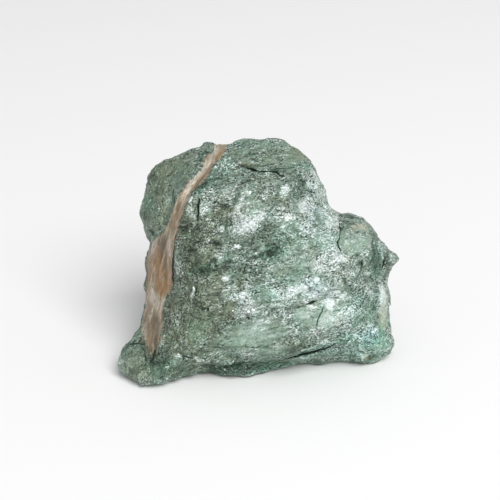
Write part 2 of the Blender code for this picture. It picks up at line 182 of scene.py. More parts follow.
# %% [markdown]
# ## Where things are on the face
# Each kind of ground on the stone is a set of soft ovals in face coordinates, with their edges
# broken up by noise. The same masks then steer both the carving and the colours. Painting
# by hand would do the same job, but ovals stay readable and can be moved.

# %% Where things are on the face
EDGE_NOISE = 2.6
PATCH_NOISE = 9.0


def ovals(spots, shapes, softness=0.45):
    """How far each spot is inside any of the ovals, 0 to 1."""
    found = np.zeros(len(spots))
    for across, up, half_width, half_height, strength, *turn in shapes:
        turned = math.radians(sum(turn))
        x = spots[:, 0] - across
        y = spots[:, 1] - up
        along = (x * math.cos(turned) + y * math.sin(turned)) / half_width
        beside = (y * math.cos(turned) - x * math.sin(turned)) / half_height
        inside = 1.0 - ease_step(np.hypot(along, beside), 1.0 - softness, 1.0 + softness)
        found = np.maximum(found, strength * inside)
    return found


def ground(points, outward, shapes, seed, elsewhere, broken):
    """A mask: the ovals on the front of the stone, and patches of noise on the rest of it.

    Elsewhere is the strength of the patches, and broken is how far noise shifts the ovals' edges.
    """
    placed = to_face(points)
    shift = broken * np.column_stack([
        rough(points, EDGE_NOISE, seed + other) for other in (0, 9)])
    front = ease_step(outward @ FACE_AXES[2], -0.05, 0.35)
    patches = elsewhere * ease_step(rough(points, PATCH_NOISE, seed + 4), -0.05, 0.5)
    return front * ovals(placed[:, :2] + shift, shapes) + (1.0 - front) * patches


print("ovals and patches are ready")

# %% [markdown]
# ## Matte, silvery and dark ground
# These three say how the flakes lie. Matte ground is broken across the layers. Silvery ground lies
# flat to the light: the mica's own silver with a painted highlight, and dark ground is painted shade
# where it is turned away from the light or hollow.

# %% Matte, silvery and dark ground
# Each oval: across, up, half width, half height, strength, and its turn in degrees if it has one.
MATTE = (
    (-27.5, 17, 8, 15, 0.7, -35), (-13, -25, 9, 7, 0.4), (6, 29.8, 14, 4.2, 0.4),
    (33.2, 2.6, 5.6, 5.6, 0.85, -20), (-37, -35.5, 5, 6, 0.7, -35), (-25, -38, 9, 2.4, 0.8, 8),
    (2, -25.8, 10.5, 4.4, 1, 8), (24.4, -20.6, 4, 4, 0.9), (8, -31.6, 6, 1.8, 0.7, 8),
    (12, -6.2, 8, 2.8, 0.6, 10), (42, -30.6, 3, 3, 0.6), (-24, -36.6, 6, 1.6, 0.8, 8),
    (42.6, -22, 1.6, 4, 0.8), (1, 14, 4, 3, 0.4), (17.6, -20.6, 4, 3.4, 0.85), (-6, -33, 5, 1.4, 0.5),
    (14.8, 30, 3.6, 2.2, 0.8, -30), (-7.5, -28.5, 5, 3, 0.8, 10), (-16, -26, 3, 4, 0.7),
)
# Silvery ground: the mica's own silver with a painted highlight where the flakes lie flat to the light.
BRIGHT = (
    # beside the vein
    (-18.7, 15.8, 1.4, 0.9, 0.7), (-18.6, 12.2, 0.9, 2.2, 0.7, 5), (-14.8, 12.9, 0.8, 1.6, 0.7),
    (-12.6, 18, 2.6, 0.9, 0.35, 20), (-13.4, 13.6, 1.2, 1.6, 0.5), (-8, 28.2, 0.8, 0.8, 0.5),
    (-22.3, -6.2, 0.7, 1.3, 0.4),
    # the silvery middle
    (-6.4, 17.2, 0.7, 0.6, 0.8), (-2.4, 15.6, 0.8, 2, 0.8, -10), (-0.8, 17.7, 1.2, 0.7, 0.8, -20),
    (2.1, 20.8, 0.6, 0.5, 0.8), (-3.6, 12.7, 0.9, 1.7, 0.7, -20), (-4, 10.4, 2, 1.6, 0.7),
    (-0.9, 7.4, 3.8, 2.4, 1, 20), (-2, 4.6, 1.6, 0.8, 0.6), (-17.7, -13.6, 0.35, 2.2, 1, -12),
    (10.8, 7, 1.6, 1.2, 0.5), (18.4, 10, 1.8, 1.6, 0.5), (-14.7, -0.2, 0.4, 0.5, 1),
    (2.6, 9.9, 2.6, 1.3, 0.8, 35), (-2.4, 6.4, 2.2, 1.1, 0.8), (3, 13, 3.2, 2.6, 0.2),
    (-8.4, 6.3, 0.9, 0.8, 0.9), (-4.2, 1.2, 1.6, 0.7, 0.5), (-9.4, -2, 1, 1.3, 0.5, 30),
    (10.6, 18.3, 1.3, 1.7, 1, -10), (9.9, 16.2, 0.9, 1.1, 0.5), (12.4, 10.1, 2.1, 1.2, 0.8, 10),
    (16.6, 13.5, 1.4, 2.2, 0.9, 10), (13, 4.5, 2, 0.6, 0.4), (16.8, 1, 1.2, 1, 0.4),
    (1.8, -1.1, 0.8, 0.6, 0.5),
    # up the right slope
    (17.8, 14.6, 2.4, 2.2, 0.5), (22.8, 11.4, 1.6, 2.8, 0.5, 35), (19.6, 20.4, 2.2, 0.9, 0.8, -20),
    (20.2, 24.6, 0.7, 1.8, 0.8, 30), (21.4, 22, 0.7, 2, 0.7, 20), (25.6, 13, 1.6, 0.9, 0.7, -45),
    (21.4, 20.6, 0.9, 1.4, 0.5), (20.6, 5.6, 2.4, 1.6, 0.25), (26, 12.6, 2.4, 1.4, 0.6, -30),
    (23, 17.6, 1.2, 2.6, 0.5, 30), (24.3, 6.2, 1.1, 0.9, 1), (27.4, 9.2, 0.8, 1.2, 0.7),
    (24, 3.4, 2.8, 1.6, 0.4),
    # shoulder and below it
    (25.8, 8.6, 2.8, 2.2, 0.8), (25, 0, 3, 2.2, 0.35), (42, 0.4, 1.6, 2.8, 0.3),
    (16.4, 7.6, 2.6, 2.2, 0.3), (8, 9.4, 2.2, 2, 0.25), (-7, 18, 3, 2.2, 0.5), (-23.4, -22, 2, 4.6, 0.35),
    (-21.8, -4, 1.6, 6, 0.2), (34.6, -31.6, 3, 1.6, 0.25, 10), (33.4, 1.6, 4.6, 3.8, 0.15, -10),
    (27.4, -2.8, 3, 1.2, 0.9, 8), (22, -4.6, 2.6, 2.6, 0.45), (20.3, -8.9, 1, 0.9, 1),
    (14.8, -12, 4, 1.4, 1, 13), (10.8, -13.6, 3, 1.8, 0.6), (19, -13.6, 2.4, 1.2, 0.5),
    (6, -9.7, 1.6, 0.45, 0.6), (21.6, -12.4, 1.8, 2.4, 0.4), (28.2, -5.6, 2.4, 1, 0.3, -30),
    # the lower middle
    (-7.2, -8.7, 1.7, 0.7, 0.9, 20), (-6.4, -12.4, 2.4, 1.9, 0.25), (-2.2, -14, 1.5, 1.1, 0.6),
    (-0.6, -17.6, 2.5, 2.6, 0.55), (6.9, -15.4, 1.5, 0.5, 0.6, -30), (9.4, -17, 1.1, 0.5, 0.8, -20),
    (18.6, -17.7, 1.3, 0.7, 0.6), (25, -16.9, 1.5, 2, 1, 10), (26.5, -13.4, 1.5, 1.2, 0.7),
    (23.4, -16, 1, 0.7, 0.7), (24.6, -21.8, 3.8, 2.6, 0.4), (3, -22.2, 2, 0.9, 0.5, 15),
    (5.5, -22.5, 0.8, 0.8, 0.6), (0, -26.5, 7.5, 2.6, 0.3, 5), (16.5, -20.5, 2.5, 1.5, 0.35),
    # towards the right edge
    (32.9, -11, 1, 0.8, 1), (37.4, -11, 1.1, 0.8, 0.6), (29.4, -14.6, 2.4, 1.4, 0.6),
    (29.6, -20.4, 2, 2.4, 0.5), (31.7, -18.7, 1.3, 1.2, 0.7), (30, -25.4, 0.9, 0.5, 0.7),
    (33.5, -26.8, 0.9, 0.6, 0.9), (39.6, -25.7, 0.8, 0.7, 1), (37.3, -7.3, 1, 0.8, 0.6),
    (45.8, -2.6, 1, 1.5, 0.4), (42.6, -14.6, 1.4, 3, 1, 8), (43.6, -21, 1.3, 4.2, 0.3),
    (38.2, -13.6, 1.4, 1.2, 0.5), (36.4, -34.2, 1.2, 1, 0.8),
    # along the bottom
    (18.4, -31, 2.6, 0.5, 0.8, 12), (23.2, -29, 1.9, 1, 0.6, 10), (8, -31.8, 2, 1.2, 0.3),
    (-16.8, -27.2, 2.2, 1.9, 0.2), (-8.4, -27, 1.8, 1.6, 0.2), (-22.4, -33.2, 0.9, 0.5, 0.9),
    (-26, -36.6, 0.7, 0.4, 0.8), (-16.6, -34.4, 1.9, 0.4, 0.6, -15),
)
# Dark ground: painted shade, where the stone is turned away from the light or hollow.
DARK = (
    (-24, -38.2, 6, 1.8, 0.6, 10), (31, -13, 2.4, 1.8, 0.45, -20), (-15.4, 3.2, 1.8, 1.4, 0.5),
    (14.2, 22.8, 3, 1.8, 0.5, -20), (14.8, 17.6, 2.4, 1.8, 0.5), (-16.4, -17.4, 3, 3, 0.3),
    (44.8, -3.2, 1.6, 1.6, 0.5), (-28.4, -33.6, 3.6, 4.6, 0.6, 20), (-33.6, -29.6, 2.4, 2, 0.4),
    (-18.6, -2.4, 2.8, 4.6, 0.4), (-15.4, 20, 3, 1, 0.7, 25), (3.6, 5, 3.4, 1.8, 0.4, 20),
    (24.6, -7.8, 2.2, 1.4, 0.3), (12.4, -6.6, 5.4, 2.2, 0.28, 10), (-32, -23, 2.4, 3, 0.3),
    (19.6, 8, 1.6, 1.6, 0.25), (7.8, 14.6, 1.4, 1.2, 0.4), (0.4, 22.4, 2.6, 1.2, 0.4),
    (-20, -21.6, 2.2, 1.4, 0.35), (-19, -35.4, 3, 0.8, 0.4), (6.3, -1, 1.8, 1, 1, 10),
    (8.9, -0.5, 1.4, 0.7, 0.6, 10), (3.4, -4.8, 1.6, 0.4, 0.5), (0.4, -2.6, 2.8, 0.7, 0.35, 30),
    (0.6, -7.4, 3.4, 1.8, 0.3), (-7.6, 8.4, 2.4, 2.4, 0.45), (8, 1, 2.6, 1.6, 0.25),
    (17, 17.6, 3, 2.6, 0.3), (8.2, 15, 2.4, 1.6, 0.3), (-7.4, -23, 4, 3.4, 0.25),
    (34, -15, 3.4, 2.6, 0.15), (-8.3, 13.4, 1.2, 0.9, 1), (-10.5, 2, 1.3, 1.4, 0.8),
    (-16, 11.6, 0.6, 2.6, 0.6), (-20.2, 7.4, 2, 2.4, 0.6), (-16.6, 5.4, 2, 1.6, 0.5),
    (-17.6, -0.1, 1.5, 0.5, 0.8), (-14.6, -6.6, 2.6, 1.1, 0.6), (-11.6, -3, 1.4, 0.7, 0.6, -20),
    (-9.4, -5.4, 2.2, 0.6, 0.5, 15), (-2, -6.2, 1, 2.2, 0.35), (-3, -10.4, 1.1, 2.4, 0.4),
    (19, -16.2, 1.2, 0.5, 1, 15), (15, -17.2, 2.2, 0.5, 0.6, 8), (34.8, -4.2, 0.9, 1.1, 1),
    (33.6, -1.6, 0.5, 1.1, 0.6), (40.2, -3.4, 2.2, 4.4, 0.5), (43.2, -4.2, 0.8, 0.8, 1),
    (39.2, 3, 1, 3.4, 0.35, 25), (29.6, 8.2, 2.2, 1.8, 0.5), (32.3, 8.3, 1.2, 0.6, 0.8, 15),
    (33.8, 5.6, 1.1, 0.3, 0.8, 15), (32.8, 10.4, 3.6, 0.5, 0.6, -8), (16.2, 20.8, 1.4, 0.9, 0.8, 20),
    (13.4, 19.4, 1.1, 0.8, 0.5), (5.4, 7.2, 2.6, 1.2, 0.4), (8.4, 17.2, 0.7, 0.8, 0.6),
    (9, 31.2, 1.6, 0.4, 0.5, 20), (1, 28.9, 1.6, 0.4, 0.5), (-4.6, 27.8, 0.8, 0.6, 0.6),
    (-0.6, 25.9, 2.4, 0.7, 0.7, -20), (-1.4, 21, 2.4, 0.5, 0.6, 12), (-16.2, 29, 1.2, 3, 0.4, -25),
    (-24.1, 16.4, 0.4, 2.2, 0.7, 5), (-33.2, 12.4, 1.2, 3, 0.35), (-30, 19, 0.6, 1.6, 0.5),
    (-31, 24, 2, 3.6, 0.4, -30), (-29.4, -23.6, 0.6, 0.9, 0.6), (-5, -37.7, 9, 1.5, 0.8, 2),
    (3.4, -36.6, 4, 0.8, 0.7, 15), (-15, -36.7, 4, 0.5, 0.6, 10), (9, -36, 3.6, 0.6, 0.5, 12),
    (-39, -31, 3.4, 0.8, 0.6, 42), (-34.4, -29.6, 1.4, 0.7, 0.5), (14.6, -31.4, 3.4, 1.5, 0.4, 12),
    (12.6, -33, 1.4, 0.9, 0.5), (28.8, -29.2, 2, 0.9, 0.5), (30, -33.6, 2.8, 0.8, 0.35),
    (39.6, -18.6, 0.8, 1.6, 0.5), (35.4, -21.8, 0.8, 0.7, 0.6), (31.2, -10, 2, 2.6, 0.2),
    (36, -14.6, 2, 1.2, 0.3), (39.2, -34.8, 2.2, 0.8, 0.8, 10), (9.6, 24, 3.2, 2.2, 0.35),
    (0.5, 34, 4, 0.8, 0.3, 8), (-26.2, -20.6, 1.2, 3.6, 0.3, 8), (-12, -20, 1, 0.8, 0.6),
    (-18, -35.4, 2.6, 0.6, 0.5, -15), (-30.4, -31.6, 1.2, 1.6, 0.4, 20),
)
print("ovals:", len(MATTE), "matte,", len(BRIGHT), "silvery,", len(DARK), "dark")

# %% [markdown]
# ## Broad painted light and shade, and tints
# Behind those lie broad parts of painted light and painted shade, patches whose grain has painted
# glitter, and tints: rusty brown where iron has stained the mica, teal and blue where it is fresh,
# and beige at worn edges.

# %% Broad painted light and shade, and tints
# Broad painted light: parts of the face made lighter where the light falls fuller.
SUNNY = (
    (41, -32.4, 5, 2.6, 1, 10), (-41, -37, 2, 3, 1), (-34, -41, 3, 2, 0.8), (20, -10, 11, 15, 1, -10),
    (0, 9, 6, 5, 0.75, 20), (3, -18, 12, 9, 0.85), (34, 1, 4, 5, 0.3), (20, 15, 6, 8, 0.65, 30),
    (36, -28, 8, 7, 0.8), (-13, 12, 3, 5, 0.3), (29, -18, 6, 7, 0.9), (11, -14, 6, 4, 0.9),
    (43, -15, 3, 7, 0.7), (38, 4, 2, 4, 0.5, 30), (2, 34, 5, 2, 0.6), (6, -32, 8, 2, 0.4, 5),
    (-8, 26, 3, 3, 0.5), (12, 28, 4, 2, 0.5),
)
# Broad painted shade: parts of the face made darker where less light falls.
GLOOMY = (
    (-27, 18, 9, 16, 0.6, -35), (-19, 0, 6, 14, 0.85), (-20, -20, 8, 16, 0.8), (-9.5, -22, 6, 8, 0.8),
    (-2, -38, 26, 3.4, 0.6, 2), (4, 30, 15, 4, 0.4), (-34, -36, 9, 8, 0.9, -30),
    (40.5, -3, 3.4, 8, 0.6, 10), (-12, 22, 6, 3, 0.7, 20), (15, -31, 6, 2.4, 0.9, 12),
    (3, 2, 9, 5, 0.7, 10), (34, -11, 3, 5, 0.4),
)
# Where the flakes are small and stand every way, so it glitters most: the fine grain's contrast in the
# colour is raised there, a painted glitter.
CRISP = (
    (18, 19, 5, 7, 1, 20), (26, 9, 4, 4, 1), (33, 8, 5, 3, 1), (-15, 16, 3, 4, 0.8), (34, -20, 5, 7, 0.8),
    (25, -32, 7, 2.4, 0.9, 10), (17, 26, 4, 3, 0.8), (42, -2, 3, 6, 0.8), (-31, 14, 3, 4, 0.5),
    (34, 1, 5, 5, 0.8), (-20, -2, 3, 10, 0.6), (34, -8, 5, 4, 0.6), (-15, 3, 4, 5, 0.5),
    (8, -12, 4, 4, 0.3), (42, -14, 2, 5, 0.5),
)
BROWN = (
    (-19.6, -14, 4, 14, 0.5), (-26, 27, 6, 1.6, 0.8, 28), (-13, 7, 6, 6, 0.4), (-16, -12, 8, 24, 0.8),
    (-30, 16, 4, 9, 0.5, -20), (-24, -22, 4, 10, 0.9), (-29, 6, 4, 4, 0.6), (-35, -37, 5, 5, 0.5),
    (-8.5, 11.2, 4.6, 3, 0.9, -10), (-8, 16.6, 2.8, 1.4, 0.7, 20), (-13.2, 4.6, 4.6, 4.6, 0.8),
    (-20, 7, 3, 4.6, 0.8), (-18, -1.2, 3, 2, 0.5), (-14, -17, 5.6, 4, 0.5), (-7, -18.4, 2.8, 3.4, 0.9),
    (-10, -24, 2.6, 2.8, 0.7), (-2.8, -9.6, 1.5, 3.8, 0.7), (4.6, 22.2, 4.6, 1.4, 0.7),
    (4.2, 16, 3.6, 3, 0.5), (-0.4, 26.4, 2.6, 0.9, 1, -10), (10.2, 14, 2.4, 2.6, 0.5),
    (-27, 26, 6, 3.6, 0.8, 25), (-27.8, 12, 2.2, 4.6, 0.7), (-19, 27, 2.6, 3, 0.4),
    (-24.6, -27, 2.2, 4.6, 0.6), (-22, -31.6, 3.6, 1.8, 0.7, -20), (17, -30, 3.6, 1.2, 0.7, 12),
    (13, -28.6, 2.6, 1.2, 0.5), (43, -20.6, 1.2, 4.6, 0.8), (38.6, -34.4, 2.4, 1.2, 1, 10),
    (28.6, -7.8, 2.8, 1.6, 0.4, -30), (9, 29, 7, 2.6, 0.4), (30.6, -2.6, 2.2, 1, 0.4),
    (-35, -3, 2, 16, 0.5), (15.4, 30.6, 3.2, 1.8, 0.9, -30),
)
TEAL = (
    (2, -37.4, 16, 2, 0.8, 4), (36, -30, 9, 6, 0.9), (-14, -6, 5, 1.6, 0.9, 15), (40, -22, 4, 9, 0.5),
    (7, -1, 5, 2, 0.7, 10), (-15, 19.6, 3.4, 2, 0.8, 30), (-13, 23.2, 2.6, 1.8, 0.6),
    (-8, 26, 2.6, 2.8, 0.4), (-4, 32.6, 2.4, 1.6, 0.5), (14.6, 26, 2.8, 1, 0.6, 10),
    (18.1, 26, 1, 1.6, 0.9), (19, 19, 2.6, 3.4, 0.4), (23.2, 12.4, 2.4, 4.6, 0.2, 30),
    (-32.6, 14, 2.2, 2.8, 0.5), (41.6, -28.6, 3, 3.4, 1), (35.4, -25, 5.6, 5, 0.6),
    (33, -31.4, 5.6, 2.2, 0.6), (21, -31.5, 7, 2, 0.8, 12), (40.4, -3, 2.4, 5.6, 0.8),
    (27, -33.2, 4.6, 1.4, 0.6), (23.6, 3, 5, 3.6, 0.4), (12.4, 3.6, 5.4, 3.6, 0.3),
    (-16, -25.5, 3.4, 4.4, 0.45), (-7, -28.5, 5, 3, 0.2, 10), (5.4, -13.4, 4.6, 3, 0.5),
    (-8, -3.4, 3.6, 1.8, 0.4), (34.2, -18.6, 5.4, 4.6, 0.6), (-28, -36.4, 6, 2.4, 0.35, 8),
    (14, -10, 7, 3, 0.3),
)
BLUE = (
    (38.4, -28.2, 3.4, 3, 0.55), (20, 10.6, 3.4, 4, 0.3), (22, -12, 4, 3, 0.3),
)
BEIGE = (
    (35.2, 7.5, 3.4, 1, 1, 14), (29.8, -2.6, 2, 0.5, 0.4, -10), (38, 1.4, 0.35, 3, 0.6, 8),
    (43, -21, 1.8, 3.6, 0.8), (43.6, -15.2, 1.2, 2.6, 0.5), (37, -34.4, 1, 0.8, 0.8),
)
# The ovals of each mask, its noise seed, its strength elsewhere, and how broken it is in mm.
GROUNDS = {
    "matte": (MATTE, 31.0, 0.8, 0.9), "bright": (BRIGHT, 47.0, 0.5, 0.5),
    "dark": (DARK, 71.0, 0.6, 0.5), "crisp": (CRISP, 77.0, 0.2, 0.9),
    "brown": (BROWN, 53.0, 0.7, 0.9), "teal": (TEAL, 61.0, 0.7, 0.9),
    "blue": (BLUE, 63.0, 0.0, 0.9), "beige": (BEIGE, 57.0, 0.0, 0.4),
}

points = skin_points()
outward = skin_normals()
matte = ground(points, outward, *GROUNDS["matte"])
print("kinds of ground:", ", ".join(GROUNDS))
print("matte, on average:", round(float(matte.mean()), 2))

# %% [markdown]
# ## The shape of the vein
# The feldspar filled a crack in the schist, so the vein is a thin sheet through the stone that
# shows as a band. Its outline is a closed line of points. A second line runs down the middle of
# its upright stripe, because the feldspar's streaks and ridges follow it.

# %% The shape of the vein
# The vein's outline in across and up, clockwise from the top left.
VEIN = (
    (-11.2, 35.5), (-11.8, 31), (-13.4, 30.4), (-14.4, 29), (-14.8, 27), (-15.6, 25),
    (-17.6, 23), (-19.2, 21.5), (-20.5, 19.7), (-22.2, 17.5), (-23.3, 15), (-24.1, 12.5),
    (-25, 10), (-25.9, 8), (-26.7, 6.3), (-27.8, 4.9), (-29.4, 4.2), (-31, 2.8),
    (-32.8, 0.4), (-33.6, -3), (-33.5, -6), (-33.5, -10), (-33.8, -13), (-34, -15.5),
    (-33.8, -18.5), (-34.2, -21), (-34.6, -24), (-34.4, -27), (-33.4, -29.6), (-31.8, -32.4),
    (-29.8, -32), (-28.5, -29), (-28, -26), (-27.4, -22.5), (-27.4, -20), (-27.1, -17),
    (-26.4, -15), (-25.2, -13.2), (-24.3, -11.8), (-23.9, -10.2), (-23.9, -7), (-23.7, -3.5),
    (-23.5, 0), (-23, 3.5), (-22.4, 6.5), (-21.6, 9), (-20.8, 11), (-20.1, 13.5),
    (-19.3, 16), (-18.5, 17.8), (-16.6, 19.4), (-14.6, 21.3), (-13, 23.6), (-11.3, 27),
    (-9.4, 28.6), (-7.7, 31.5), (-7, 35.5),
)
# Where the vein is stained orange, where it is palest, and where it is dim with painted shade: ovals as
# before.
VEIN_CORE = (
    (-28.4, -4.4, 2.4, 5.6, 1, 6), (-27.2, -11.2, 2.4, 3.4, 1, -25), (-30.6, -8, 1.6, 4, 0.5),
    (-26.3, -6, 1.5, 5.4, 0.9, 3), (-23.5, 8.6, 1, 3.6, 0.45, -16),
)
VEIN_LIGHT = (
    (-31.4, -14.8, 1.6, 2, 0.9), (-30.9, 0.8, 0.9, 2.6, 0.9, -20), (-25.5, 1.6, 0.7, 4.6, 0.6, -8),
    (-11.2, 31.8, 1.3, 2.6, 0.9, -20), (-12.6, 28.6, 1, 2.2, 0.8, -20), (-15.6, 24.2, 0.9, 2.8, 0.8, -38),
    (-18.8, 20.2, 0.8, 2.6, 0.7, -38), (-25.7, -3.6, 0.3, 4.4, 0.6, 3), (-33.4, -26, 0.8, 2.4, 0.5),
    (-29.6, -17.4, 1, 1.6, 0.5), (-10.2, 33, 1.2, 1.6, 0.4),
)
# Where the vein is dim: painted shade in its groove and recesses.
VEIN_DIM = (
    (-27.7, 1.2, 0.45, 2.8, 0.9, -8), (-29.6, -22.6, 0.8, 1.6, 0.9), (-24.5, -6.4, 0.4, 3.8, 0.7),
    (-22.4, 12.4, 0.7, 3.2, 0.6, -15), (-24.7, 8.6, 0.4, 2.2, 0.5, -20), (-30.4, -27.4, 1, 2.8, 0.6, 5),
    (-16, 21.4, 0.35, 2.6, 0.6, -42), (-13.2, 25.4, 0.3, 2.4, 0.5, -32), (-24.1, 4.8, 0.6, 3, 0.5, -15),
    (-26.6, -8.6, 0.35, 1.6, 0.5, 25), (-28.4, 2.9, 1.2, 1.5, 0.7, -30), (-30, -24.6, 1.4, 4.2, 0.8, 4),
    (-29.8, -29.2, 0.8, 2.6, 1, 5), (-27.5, 1.8, 1.1, 3.8, 0.85, -12), (-26.5, -3.6, 0.6, 3.6, 0.8, -8),
    (-24, 1, 0.4, 4, 0.5, -6), (-31.4, -31.2, 1.6, 1.4, 0.6), (-31.6, -26, 2.2, 6, 0.4, 5),
)
# The middle of the vein's upright stripe, from the top down: its streaks run along this.
VEIN_LINE = (
    (-9.5, 36), (-12.5, 27), (-16.5, 21.5), (-20.5, 16.5), (-23, 8.5), (-25.5, 1),
    (-28, -8), (-29.5, -17), (-31.5, -26), (-32.5, -36),
)
print("the vein's outline has", len(VEIN), "points")

# %% [markdown]
# ## Inside and along the vein
# Two measures place a point on the vein: how deep it lies inside the outline, and how far it is
# along the middle line and to its side. Behind the front the vein is the edge of the sheet, so
# there the distance to the sheet takes the outline's place.

# %% Inside and along the vein
SHEET_LEAN = 0.3
SHEET_START = -12.0
SHEET_WIDTH = 2.6


def nearest_on(start, end, spots):
    """Each spot's nearest place on a straight piece: its part of the way, and the gap to it."""
    along = end - start
    part = np.clip((spots - start) @ along / (along @ along), 0.0, 1.0)
    return part, spots - start - part[:, None] * along


def distance_in(outline, spots):
    """Distance of each spot from a closed outline, positive inside it."""
    outline = np.asarray(outline, float)
    nearest = np.full(len(spots), np.inf)
    inside = np.zeros(len(spots), bool)
    for start, end in zip(outline, np.roll(outline, -1, axis=0)):
        along = end - start
        gap = nearest_on(start, end, spots)[1]
        nearest = np.minimum(nearest, np.hypot(gap[:, 0], gap[:, 1]))
        crosses = (start[1] > spots[:, 1]) != (end[1] > spots[:, 1])
        rise = along[1] if along[1] else 1e-9
        inside ^= crosses & (spots[:, 0] < start[0] + (spots[:, 1] - start[1]) * along[0] / rise)
    return np.where(inside, nearest, -nearest)


def along_line(path, spots):
    """How far along a line of points each spot is, and how far to its side, in mm."""
    path = np.asarray(path, float)
    nearest = np.full(len(spots), np.inf)
    run = np.zeros(len(spots))
    aside = np.zeros(len(spots))
    done = 0.0
    for start, end in zip(path, path[1:]):
        way = end - start
        length = np.linalg.norm(way)
        part, gap = nearest_on(start, end, spots)
        reach = np.hypot(gap[:, 0], gap[:, 1])
        closer = reach < nearest
        nearest[closer] = reach[closer]
        run[closer] = (done + part * length)[closer]
        side = np.where(way[0] * gap[:, 1] - way[1] * gap[:, 0] > 0, 1.0, -1.0)
        aside[closer] = (side * reach)[closer]
        done += length
    return run, aside


def sheet_aside(points):
    """How far each point is to the side of the vein's sheet, which leans inward with depth."""
    placed = to_face(points)
    spots = placed[:, :2] + 0.8 * rough(points, 6.0, 29.0)[:, None]
    spots[:, 0] += SHEET_LEAN * placed[:, 2]
    return along_line(VEIN_LINE, spots)


def vein_depth(points, outward, edges):
    """How far inside the vein each point is, negative outside it.

    Behind the rim it goes on as a thin band, as a sheet through the stone would.
    """
    placed = to_face(points)
    inside = distance_in(VEIN, placed[:, :2])
    calm = relax(outward, edges, 24) @ FACE_AXES[2]
    deep = placed[:, 2] + 1.5 * rough(points, 4.0, 63.0) < SHEET_START
    band = SHEET_WIDTH / 2 - np.abs(sheet_aside(points)[1])
    return np.where((calm > -0.15) & ~deep, inside, band)


in_vein = vein_depth(points, outward, skin_edges())
print("on the vein:", int((in_vein > 0).sum()), "of", len(in_vein), "vertices")

# %% [markdown]
# ## Carving the layers
# The skin gets three kinds of relief: broad lumps, thin ledges where mica layers end, and small
# flat flakes, each tipped its own way. The ledges come from turning the depth across the layers
# into treads and risers, and the flakes come from Voronoi cells, which are flat-sided patches
# around random points. A Displace modifier could do the lumps but not the tipped flakes, so all
# of it is done in one way.

# %% Carving the layers
FOLIATION = np.array((0.06, -0.20, -0.98))  # across the mica layers, in face coordinates
LEDGE = 0.95
LEDGE_STRENGTH = 0.75
FLAKE_SIZE = np.array((3.0, 1.9, 1.6))
FLAKE_TIP = 0.14
FLAKE_LIFT = 0.13
VEIN_RIDGE = 0.3
# The sine of a cell's centre times these, times the gain, scrambles it into three chances.
SCRAMBLE = np.array(((12.99, 78.23, 37.72), (39.35, 11.14, 83.16), (73.16, 52.24, 9.15)))
SCRAMBLE_GAIN = 43758.5453
# Each size of relief: its height, its size and its noise seed. Lumps are in mm, and for flakes
# the first multiplies their tip and lift, and the second their size.
LUMPS = ((0.55, 6.0, 21.0), (0.2, 2.6, 26.0))
FLAKE_LAYERS = ((1.3, 2.2, 11.0), (1.0, 1.0, 5.0), (0.45, 0.55, 17.0))


def thin_ledges(points):
    """How far to move each point along the out direction to make treads and risers."""
    placed = to_face(points)
    stray = 0.9 * rough(points, 5.0, 3.0) + 0.35 * rough(points, 1.8, 8.0)
    height = (placed @ FOLIATION + stray) / LEDGE
    whole = np.floor(height)
    stepped = whole + ease_step(height - whole, 0.3, 0.7)
    patch = ease_step(rough(points, 7.0, 14.0), -0.25, 0.35)
    return -LEDGE_STRENGTH * LEDGE * patch * (stepped - height)


def flake_relief(points, size, seed):
    """Height of small flat flakes that are each lifted and tipped their own way."""
    placed = to_face(points)
    placed += 0.5 * np.column_stack([rough(points, 1.6, seed + k) for k in range(3)])
    scaled = placed / size + seed
    centres = np.array([noise.voronoi(Vector(p))[1][0] for p in scaled])
    chance = np.sin(centres @ SCRAMBLE.T) * SCRAMBLE_GAIN
    chance = 2.0 * (chance - np.floor(chance)) - 1.0
    away = (scaled - centres) * size
    return FLAKE_LIFT * chance[:, 0] + FLAKE_TIP * (away[:, :2] * chance[:, 1:]).sum(axis=1)


def vein_ridges(points):
    """Fine ridges along the vein, a raised stripe, and a groove on its left side."""
    run, aside = along_line(VEIN_LINE, to_face(points)[:, :2])
    spots = np.column_stack((0.1 * run, 0.9 * aside, np.zeros(len(run))))
    ridges = VEIN_RIDGE * rough(spots, 1.0, 33.0, 3)
    lower = ease_step(run, 28.0, 34.0) * (1.0 - ease_step(run, 44.0, 50.0))
    stripe = 1.0 - ease_step(np.abs(aside - 0.1), 0.5, 1.6)
    groove = 1.0 - ease_step(np.abs(aside + 1.9), 0.2, 1.2)
    return ridges + lower * (0.45 * stripe - 0.5 * groove)


def set_down(points):
    """Keeps the flat that the stone rests on: nothing goes below it."""
    return np.column_stack((points[:, 0], points[:, 1], np.maximum(points[:, 2], 0.0)))


# Less on matte ground, and least round the rim, where flakes are worn flush.
front = np.abs(outward @ FACE_AXES[2])
broken = (1.0 - 0.6 * matte) * (0.45 + 0.55 * ease_step(front, 0.15, 0.6))
on_vein = ease_step(in_vein, -0.4, 0.6)
behind = ease_step(-(outward @ FACE_AXES[2]), 0.0, 0.5)
schist = broken * (1.0 - 0.8 * on_vein) * (1.0 - 0.3 * behind)
move = np.zeros(len(points))
for height, size, seed in LUMPS:
    move += height * rough(points, size, seed)
for height, size, seed in FLAKE_LAYERS:
    move += height * flake_relief(points, FLAKE_SIZE * size, seed)
ridged = on_vein * vein_ridges(points)
points += (move * schist + ridged)[:, None] * outward
points += (thin_ledges(points) * schist)[:, None] * FACE_AXES[2]
move_skin(set_down(points))
print("relief from", round(float(move.min()), 2), "to", round(float(move.max()), 2), "mm")

# %% [markdown]
# ## Creases and cracks
# Creases are shallow folds where one layer laps over the next, and cracks are thin and deeper.
# Each is a line of points with a width at every point, so it can swell and run out.

